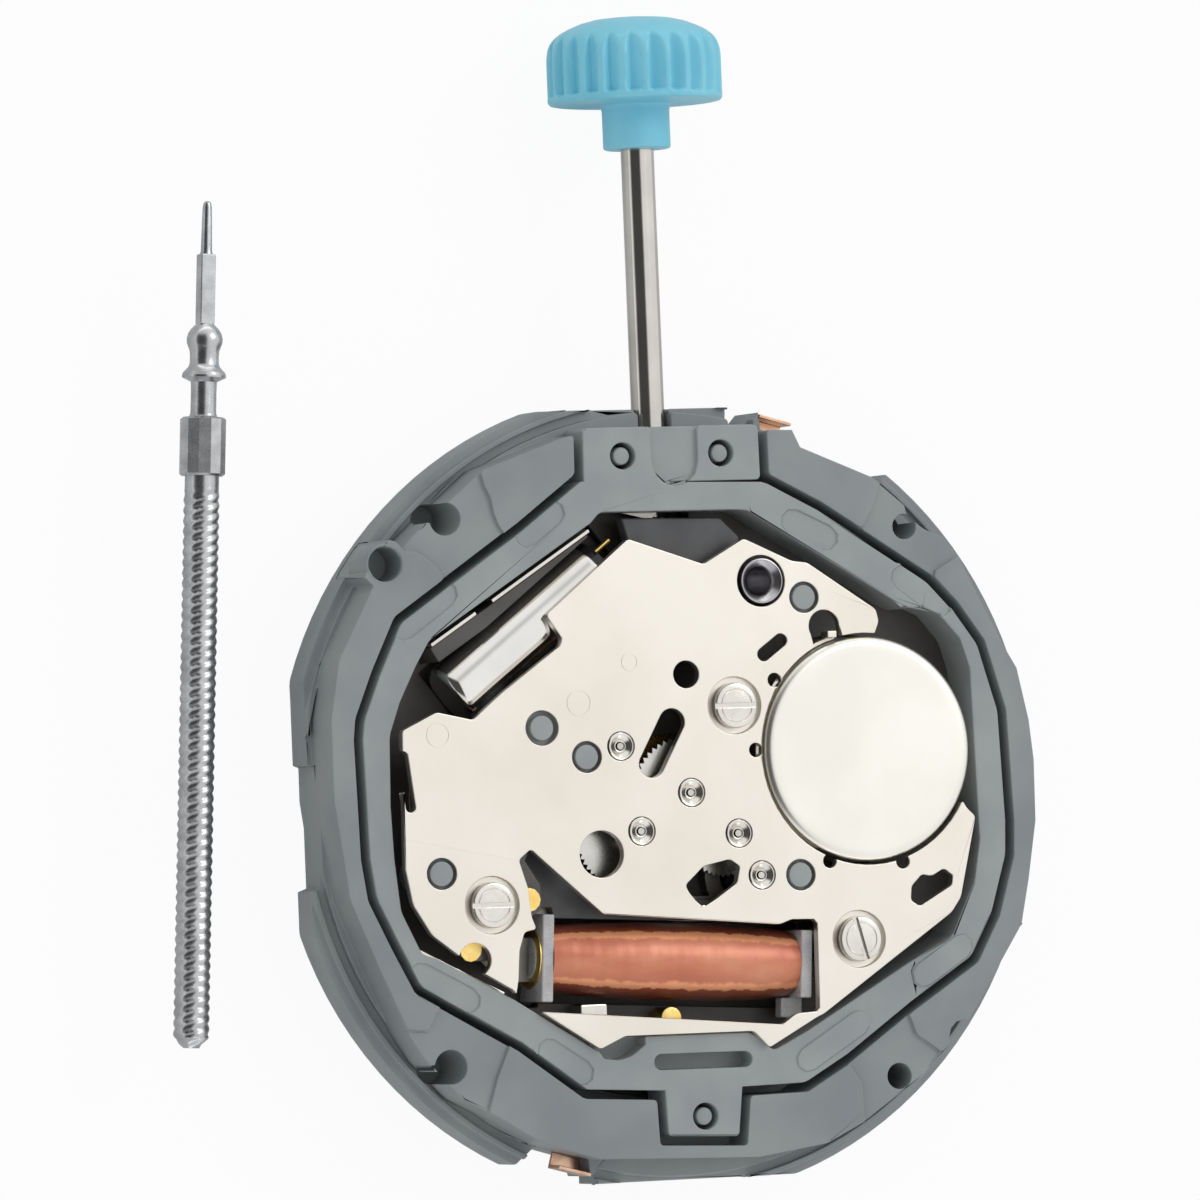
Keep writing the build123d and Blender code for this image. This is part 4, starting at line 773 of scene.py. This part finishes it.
def makeStrips(settings):
    strips = []
    for start, end, high in settings["ends"]:
        first, last = Vector(shareToMm(start)), Vector(shareToMm(end))
        run = last - first
        size = (run.length, settings["thickness"], high - settings["low"])
        place = (*((first + last) / 2), (settings["low"] + high) / 2)
        strips.append(boxBar(size, place, math.degrees(math.atan2(run.y, run.x)), settings["bevel"]))
    finishPiece(joinPieces(strips), "shield_strips")


makeStrips(stripSettings)

terminalSettings = {
    "block": ((0.885, 0.506, 0.9), (-3.007, -6.452, 1.55), 0.08),  # size, place, edge
    "disc": [(0, 1.1), (0.34, 1.1), (0.34, 1.95), (0.325, 1.985), (0.29, 2.0), (0, 2.0)],
    "discPlace": (-0.4945, -6.7275, 0),
}


def makeTerminals(settings):
    size, place, edge = settings["block"]
    finishPiece(boxBar(size, place, 0, edge), "coil_terminals")
    disc = spinProfile(settings["disc"], 48, settings["discPlace"])
    finishPiece(disc, "coil_terminals", "platedGold", "coilTerminalDisc")


makeTerminals(terminalSettings)
print("strips and terminals ready")


# The same turned shape at several places
def makeSet(node, profile, places, steps=48):
    pieces = [spinProfile(profile, steps, place) for place in places]
    finishPiece(joinPieces(pieces), node)


# Bearing bushes with an oil sink; the pivot stands in the middle
bearingProfile = [
    (0.13, 2.75), (0.13, 2.955), (0.155, 2.975), (0.18, 2.975), (0.205, 2.945), (0.32, 3.035),
    (0.345, 3.06), (0.385, 3.066), (0.41, 3.045), (0.412, 2.75), (0.13, 2.75),
]
makeSet("bridge_bearings", bearingProfile, [(x, y, 0) for x, y in bridgeSettings["bearings"]])

postProfile = [
    (0, 1.1), (0.575, 1.1), (0.58, 2.74), (0.37, 2.745), (0.372, 3.01), (0.36, 3.035), (0.335, 3.045),
    (0, 3.045),
]
makeSet("locating_posts", postProfile, [(*shareToMm(place[:2]), 0) for place in bridgeSettings["posts"]])

pinProfile = [(0, 1.55), (0.27, 1.55), (0.27, 2.63), (0.255, 2.67), (0.22, 2.69), (0, 2.69)]
makeSet("tab_pins", pinProfile, [(*shareToMm(place), 0) for place in frameSettings["tabHoles"]])

tubeProfile = [
    (0, 1.24), (0.385, 1.24), (0.385, 2.86), (0.40, 2.91), (0.47, 2.99), (0.60, 3.11), (0.64, 3.135),
    (0.67, 3.13), (0.685, 3.10), (0.685, 1.1), (0, 1.1),
]
makeSet("guide_tube", tubeProfile, [(*shareToMm(bridgeSettings["tube"][:2]), 0)])

screwSettings = {
    "slotTurns": [0, 0, -75],  # degrees
    "slotLength": 2.2,
    "slotWidth": 0.15,
    "slotDepth": 0.11,
    "slotBevel": (0.012, 2, 50),  # width, segments, degrees
    "top": 3.235,
    "profile": [
        (0, 1.97), (0.24, 1.97), (0.26, 2.0), (0.26, 2.96), (0.64, 2.96), (0.67, 2.99), (0.675, 3.15),
        (0.655, 3.19), (0.62, 3.205), (0.52, 3.21), (0.505, 3.195), (0.49, 3.195), (0.475, 3.212),
        (0.30, 3.225), (0, 3.23),
    ],
}


def makeScrews(settings):
    screws = []
    slotSize = (settings["slotLength"], settings["slotWidth"], 2 * settings["slotDepth"])
    for place, turn in zip(bridgeSettings["screws"], settings["slotTurns"]):
        x, y = shareToMm(place)
        screw = spinProfile(settings["profile"], fineSteps, (x, y, 0))
        cutter = addBlock(slotSize, (x, y, settings["top"]), turn)
        joinPieces([screw])
        cutWith(screw, [cutter])
        softenEdges(screw, *settings["slotBevel"])
        screws.append(screw)
    finishPiece(joinPieces(screws), "bridge_screws")


makeScrews(screwSettings)
print("bearings, posts, pins, tube and screws ready")

cellSettings = {
    "place": (5.85, 1.13, 0),
    "can": [
        (0, 3.1), (2.9, 3.1), (3.1, 3.097), (3.2, 3.085), (3.28, 3.06), (3.35, 3.005), (3.39, 2.93),
        (3.4, 2.84), (3.4, 1.24), (3.38, 1.18), (3.32, 1.15), (3.06, 1.15), (3.06, 1.6), (0, 1.6),
    ],
    "gasket": [
        (2.86, 1.59), (3.045, 1.59), (3.045, 1.08), (3.02, 1.05), (2.9, 1.05), (2.86, 1.08), (2.86, 1.59),
    ],
    "cap": [(0, 1.59), (2.84, 1.59), (2.85, 1.2), (2.83, 1.02), (2.77, 0.965), (2.68, 0.95), (0, 0.95)],
}
for part in ("can", "gasket", "cap"):
    makeSet("battery_" + part, cellSettings[part], [cellSettings["place"]], 96)
print("cell ready")


coilShape = {
    "length": 8.06,
    "radius": 1.18,
    # share of the length from the middle, share of the radius
    "shares": [
        (-0.5, 0.83), (-0.46, 0.865), (-0.38, 0.915), (-0.25, 0.965), (-0.1, 1.0), (0.05, 1.0), (0.2, 0.99),
        (0.33, 0.95), (0.42, 0.9), (0.47, 0.86), (0.5, 0.81),
    ],
    "rings": 96,
    "steps": 72,
    "wave": 0.005,
    "ripples": (61, 23, 1.3, 143),  # along the coil: two waves, the second one's start, a finer one
    "swells": (3, 2.1, 5.3),  # round it and along it
    "core": 0.2,  # radius inside which nothing moves
}


# A barrel with the small unevenness of a machine wound coil
def makeCoil(settings):
    shares, wave = settings["shares"], settings["wave"]
    long, short, start, fine = settings["ripples"]
    profile = [(0, -settings["length"] / 2)]
    for step in range(settings["rings"] + 1):
        along = step / settings["rings"] - 0.5
        for (x1, r1), (x2, r2) in zip(shares, shares[1:]):
            if x1 <= along <= x2:
                share = r1 + (r2 - r1) * (along - x1) / (x2 - x1)
        ripple = math.sin(along * long) * math.sin(along * short + start) + 0.5 * math.sin(along * fine)
        profile.append((settings["radius"] * share + wave * ripple - wave, along * settings["length"]))
    profile.append((0, settings["length"] / 2))
    piece = spinProfile(profile, settings["steps"])
    joinPieces([piece])
    lobes, twist, beat = settings["swells"]
    for vertex in piece.data.vertices:
        around = math.atan2(vertex.co.y, vertex.co.x)
        lift = math.sin(lobes * around + vertex.co.z * twist) * math.sin(vertex.co.z * beat + around) * wave
        reach = math.hypot(vertex.co.x, vertex.co.y)
        if reach > settings["core"]:
            vertex.co.x *= 1 + lift / reach
            vertex.co.y *= 1 + lift / reach
    movePiece(piece, (0, 90, 0))
    movePiece(piece, (0, 0, coilLook["turn"]), coilLook["place"])
    finishPiece(piece, "coil_winding", smooth=60)


makeCoil(coilShape)

bobbinSettings = {
    "bevel": 0.05,
    "end": -4.41,  # outer face of the left flange, along the coil
    "hub": [(0, 0), (0.62, 0), (0.64, 0.02), (0.64, 0.09), (0.6, 0.12), (0, 0.12)],
    "rim": [(0, 0), (0.9, 0), (0.92, 0.02), (0.92, 0.05), (0.89, 0.07), (0, 0.07)],
    "least": 1.12,  # the plate's pocket is below
    "cutSize": (3, 2),
}


# A round end disc on the left flange; what the plate's pocket has no room for is cut away
def makeEndDisc(settings, profile):
    disc = spinProfile(profile, fineSteps)
    movePiece(disc, (0, -90, 0), (settings["end"], 0, 0))
    movePiece(disc, (0, 0, coilLook["turn"]), coilLook["place"])
    width, height = settings["cutSize"]
    x, y, _ = coilLook["place"]
    place = (x + settings["end"], y, settings["least"] - height / 2)
    cutWith(disc, [addBlock((width, width, height), place)])
    return disc


def makeBobbin(settings):
    piece = copyNode("coil_bobbin")
    softenEdges(piece, settings["bevel"])
    hub = makeEndDisc(settings, settings["hub"])
    finishPiece(joinPieces([piece, hub]), "coil_bobbin")
    rim = makeEndDisc(settings, settings["rim"])
    finishPiece(rim, "coil_terminals", "platedGold", "coilEndContact")


makeBobbin(bobbinSettings)
print("coil ready")

crystalSettings = {
    "place": (-7.24, 3.07, 1.76),
    "turn": 37.5,
    "profile": [
        (0, 0), (0.70, 0.0), (0.80, 0.02), (0.88, 0.07), (0.935, 0.14), (0.962, 0.22), (0.97, 0.30),
        (0.97, 5.86), (0.965, 5.93), (0.95, 5.98), (0.9, 6.0), (0, 6.0),
    ],
}


def makeCrystal(settings):
    piece = spinProfile(settings["profile"], 72)
    movePiece(piece, (0, 90, 0))
    movePiece(piece, (0, 0, settings["turn"]), settings["place"])
    finishPiece(piece, "crystal_can")


makeCrystal(crystalSettings)
print("crystal ready")

stemSettings = {
    "height": 0.9,
    "pilot": [(0, 4.2), (0.12, 4.2), (0.17, 4.26), (0.17, 5.6), (0, 5.6)],
    "square": (0.6, 5.55, 8.12, 0.04),  # side, start, end, bevel
    "shank": [
        (0, 8.1), (0.46, 8.1), (0.5, 8.14), (0.5, 8.31), (0.46, 8.35), (0.22, 8.35), (0.22, 8.77),
        (0.46, 8.77), (0.5, 8.81), (0.5, 21.59), (0, 21.59),
    ],
}


# Lays an upright piece along +Y, turned a little from it
def layAlong(piece, turn, place):
    movePiece(piece, (-90, 0, 0))
    return movePiece(piece, (0, 0, turn), place)


def squareBar(side, start, end, bevel):
    piece = addBlock((side, side, end - start), (0, 0, (start + end) / 2))
    joinPieces([piece])
    softenEdges(piece, bevel, 3)
    return piece


def makeStem(settings):
    pilot = spinProfile(settings["pilot"], 32)
    square = squareBar(*settings["square"])
    stem = joinPieces([pilot, square, spinProfile(settings["shank"], fineSteps)])
    finishPiece(layAlong(stem, 0, (0, 0, settings["height"])), "setting_stem")


makeStem(stemSettings)

knobSettings = {
    "height": 0.9,
    "radius": 2.645,
    "flutes": 24,
    "stepsEach": 10,  # per flute
    "depth": 0.26,
    "fluteStart": 21.04,
    "fluteLeast": 2.2,  # radius inside which nothing is cut
    "runIn": 0.1,  # mm along the knob in which a flute reaches its depth
    "flute": (0.16, 0.32, 0.84),  # where in the pitch it starts, is deepest and ends
    "fluteCurve": 1.5,  # power of its hollow; 1 is a vee
    "profile": [
        (0.505, 19.46), (0.93, 19.46), (0.99, 19.48), (1.02, 19.54), (1.02, 19.9), (1.02, 20.6),
        (1.05, 20.76), (1.13, 20.84), (1.6, 20.86), (2.3, 20.845), (2.5, 20.86), (2.58, 20.88),
        (2.62, 20.93), (2.64, 20.99), (2.645, 21.04), (2.645, 21.08), (2.645, 21.14), (2.645, 21.5),
        (2.645, 22.0), (2.645, 22.15), (2.64, 22.28), (2.62, 22.42), (2.59, 22.54), (2.55, 22.64),
        (2.5, 22.73), (2.44, 22.81), (2.36, 22.89), (2.2, 23.01), (1.95, 23.14), (1.6, 23.28),
        (1.2, 23.38), (0.7, 23.43), (0.3, 23.447), (0, 23.45),
    ],
    "bore": [(0.505, 19.46), (0.505, 21.6), (0, 21.6)],
}


def makeKnob(settings):
    profile = list(reversed(settings["bore"]))[:-1] + settings["profile"]
    piece = spinProfile(profile, settings["flutes"] * settings["stepsEach"])
    joinPieces([piece])
    near, deepest, far = settings["flute"]
    for vertex in piece.data.vertices:
        reach = math.hypot(vertex.co.x, vertex.co.y)
        start = (vertex.co.z - settings["fluteStart"]) / settings["runIn"]
        if reach < settings["fluteLeast"] or start <= 0:
            continue
        place = math.atan2(vertex.co.y, vertex.co.x) / (2 * math.pi) * settings["flutes"] % 1
        side = near if place < deepest else far
        aside = abs(place - deepest) / abs(side - deepest)
        scoop = max(0, 1 - aside ** settings["fluteCurve"])
        limit = settings["radius"] - settings["depth"] * scoop * min(1, start)
        if reach > limit:
            vertex.co.x *= limit / reach
            vertex.co.y *= limit / reach
    finishPiece(layAlong(piece, 0, (0, 0, settings["height"])), "setting_knob", smooth=50)


makeKnob(knobSettings)
print("stem and knob ready")

spareSettings = {
    "place": (-14.65, 5.55, 0.67),
    "turn": -3.6,
    "total": 25.13,
    # from the tip down, each section and its length
    "sections": [
        ("pilot", 1.6), ("square", 2.08), ("bulge", 0.66), ("neck", 0.69), ("collar", 0.36),
        ("groove", 1.05), ("block", 1.74),
    ],
    # radius, the section whose lower end the point is measured from, distance up from it
    "pilot": [
        (0, "tip", 0), (0.06, "tip", -0.01), (0.11, "tip", -0.06), (0.135, "tip", -0.16),
        (0.15, "tip", -0.5), (0.165, "pilot", 0.3), (0.17, "pilot", 0.1), (0.2, "pilot", 0),
        (0, "pilot", 0),
    ],
    "turned": [
        (0, "square", 0.08), (0.2, "square", 0.06), (0.3, "square", -0.02), (0.42, "square", -0.14),
        (0.5, "square", -0.27), (0.535, "square", -0.42), (0.53, "square", -0.55), (0.49, "bulge", 0),
        (0.44, "bulge", -0.14), (0.43, "bulge", -0.3), (0.435, "bulge", -0.5), (0.47, "bulge", -0.6),
        (0.55, "neck", 0), (0.63, "neck", -0.08), (0.66, "neck", -0.17), (0.65, "neck", -0.23),
        (0.5, "collar", 0.06), (0.39, "collar", 0), (0.38, "collar", -0.3), (0.385, "groove", 0.12),
        (0.42, "groove", 0.03), (0.48, "groove", 0), (0, "groove", -0.05),
    ],
    "block": [
        (0, "block", 0), (0.62, "block", 0), (0.69, "block", 0.06), (0.69, "groove", -0.06),
        (0.62, "groove", 0), (0, "groove", 0),
    ],
    "blockFlats": 12,
    "square": (0.465, 0.05),  # side, bevel
    "overlap": 0.02,  # how far the square and the shank run into the section above
    "threadRadius": 0.54,
    "threadDepth": 0.055,
    "pitch": 0.31,
    "starts": 3,
    "ringsEach": 7,  # per pitch
    "threadSteps": 40,
    "rootCurve": 1.3,
    "core": 0.3,  # radius inside which nothing moves
    "runOut": (0.35, 0.4, 0.03),  # below the block: where it ends, over what length, how much thinner
    "endCone": (0.32, 0.9),  # length and slope
}


# Screw threads cut into a plain spun shank from its lower end to the block
def cutThread(shank, settings, top, bottom):
    ends, length, thinner = settings["runOut"]
    coneLength, slope = settings["endCone"]
    for vertex in shank.data.vertices:
        reach = math.hypot(vertex.co.x, vertex.co.y)
        if reach < settings["core"]:
            continue
        around = math.atan2(vertex.co.y, vertex.co.x) / (2 * math.pi)
        phase = (vertex.co.z / settings["pitch"] - around * settings["starts"]) % 1
        root = abs(2 * phase - 1) ** settings["rootCurve"]
        fade = min(1, max(0, (top - ends - vertex.co.z) / length))
        cone = max(0, coneLength - (vertex.co.z - bottom)) * slope
        crest = settings["threadRadius"] - thinner * (1 - fade)
        target = crest - settings["threadDepth"] * root * fade - cone
        vertex.co.x *= target / reach
        vertex.co.y *= target / reach


def makeSpare(settings):
    half = settings["total"] / 2
    lowEnds = {"tip": half}
    low = half
    for name, length in settings["sections"]:
        low -= length
        lowEnds[name] = low
    profiles = {}
    for name in ("pilot", "turned", "block"):
        profiles[name] = [(radius, lowEnds[section] + up) for radius, section, up in settings[name]]
    side, bevel = settings["square"]
    overlap = settings["overlap"]
    pieces = [
        spinProfile(profiles["pilot"], 32),
        squareBar(side, lowEnds["square"], lowEnds["pilot"] + overlap, bevel),
        spinProfile(profiles["turned"], 48),
        spinProfile(profiles["block"], settings["blockFlats"]),
    ]
    top = lowEnds["block"]
    rings = round((top + half) / settings["pitch"] * settings["ringsEach"])
    profile = [(0, top + overlap)]
    for ring in range(rings + 1):
        profile.append((settings["threadRadius"], top + (-half - top) * ring / rings))
    profile.append((0, -half))
    shank = spinProfile(profile, settings["threadSteps"])
    joinPieces([shank])
    cutThread(shank, settings, top, -half)
    spare = joinPieces(pieces + [shank])
    finishPiece(layAlong(spare, settings["turn"], settings["place"]), "spare_stem", smooth=25)


makeSpare(spareSettings)
print("spare stem ready")

studioSettings = {
    "sky": 1.0,  # what polished metal sees overhead
    "dark": 0.07,  # the unlit side of the studio, from the lens towards -X
    "darkFrom": 5,  # degrees from overhead towards -X
    "darkTo": 76,
    "darkSoft": 7,
    "darkEnds": (0.5, 0.8),  # sine of the angle towards +Y and -Y where it fades
    "ambient": 0.66,  # soft light on everything that isn't polished
    "lamps": [
        # name, place in mm, width, length, power
        ("keyLamp", (190, 150, 260), 150, 150, 0.20),
        ("farStrip", (0, 330, 45), 420, 45, 0.10),
        ("nearStrip", (0, -330, 45), 420, 45, 0.10),
    ],
}


def addStep(tree, value, low, high):
    settings = {"interpolation_type": "SMOOTHSTEP", "From Min": low, "From Max": high}
    return addNode(tree, "ShaderNodeMapRange", settings, {"Value": value}).outputs["Result"]


def addGlow(tree, strength=None, links=None):
    settings = {"Color": (1, 1, 1, 1)}
    if strength is not None:
        settings["Strength"] = strength
    return addNode(tree, "ShaderNodeBackground", settings, links).outputs[0]


def mixShaders(tree, share, first, second):
    return addNode(tree, "ShaderNodeMixShader", links={0: share, 1: first, 2: second}).outputs[0]


# Polished metal sees a bright studio with one unlit slab, matt surfaces get even light, and the
# picture's ground is white
def makeStudio(settings):
    world = bpy.data.worlds.new("studio")
    bpy.context.scene.world = world
    tree = emptyTree(world)
    coords = addNode(tree, "ShaderNodeTexCoord")
    split = addNode(tree, "ShaderNodeSeparateXYZ", links={"Vector": coords.outputs["Generated"]})
    left = addMath(tree, "MULTIPLY", split.outputs["X"], -1.0)
    angle = addMath(tree, "ARCTAN2", left, split.outputs["Z"])
    soft = math.radians(settings["darkSoft"])
    start, end = math.radians(settings["darkFrom"]), math.radians(settings["darkTo"])
    rise = addStep(tree, angle, start - soft, start + soft)
    fall = addStep(tree, angle, end - soft, end + soft)
    band = addMath(tree, "SUBTRACT", rise, fall)
    near, far = settings["darkEnds"]
    within = addStep(tree, addMath(tree, "ABSOLUTE", split.outputs["Y"]), far, near)
    slab = addMath(tree, "MULTIPLY", band, within)
    levels = {"To Min": settings["sky"], "To Max": settings["dark"]}
    level = addNode(tree, "ShaderNodeMapRange", levels, {"Value": slab})
    mirrored = addGlow(tree, links={"Strength": level.outputs["Result"]})
    path = addNode(tree, "ShaderNodeLightPath")
    lit = mixShaders(tree, path.outputs["Is Glossy Ray"], addGlow(tree, settings["ambient"]), mirrored)
    seen = mixShaders(tree, path.outputs["Is Camera Ray"], lit, addGlow(tree, 1.0))
    addNode(tree, "ShaderNodeOutputWorld", links={"Surface": seen})
    for name, place, width, length, power in settings["lamps"]:
        data = bpy.data.lights.new(name, "AREA")
        data.shape = "RECTANGLE"
        data.size = width * mm
        data.size_y = length * mm
        data.energy = power
        lamp = bpy.data.objects.new(name, data)
        bpy.context.scene.collection.objects.link(lamp)
        lamp.location = Vector(place) * mm
        lamp.rotation_euler = (-lamp.location).to_track_quat("-Z", "Y").to_euler()


makeStudio(studioSettings)

floorSettings = {"height": -2.05, "size": 4.0, "shade": "#E6E6E6", "ownLight": 0.94}


# The hand posts reach below the dial seat, so the floor lies under their tips
def makeFloor(settings):
    bpy.ops.object.select_all(action="DESELECT")
    bpy.ops.mesh.primitive_plane_add(size=settings["size"], location=(0, 0, settings["height"] * mm))
    floor = bpy.context.object
    floor.name = "floor"
    material = bpy.data.materials.new("paleBoard")
    tree = emptyTree(material)
    matt = addNode(tree, "ShaderNodeBsdfDiffuse", {"Color": linear(settings["shade"])})
    glow = addNode(tree, "ShaderNodeEmission", {"Color": (1, 1, 1, 1), "Strength": 1.0})
    path = addNode(tree, "ShaderNodeLightPath")
    share = addMath(tree, "MULTIPLY", path.outputs["Is Camera Ray"], settings["ownLight"])
    mixed = mixShaders(tree, share, matt.outputs[0], glow.outputs[0])
    addNode(tree, "ShaderNodeOutputMaterial", links={"Surface": mixed})
    floor.data.materials.append(material)


makeFloor(floorSettings)
print("studio ready")
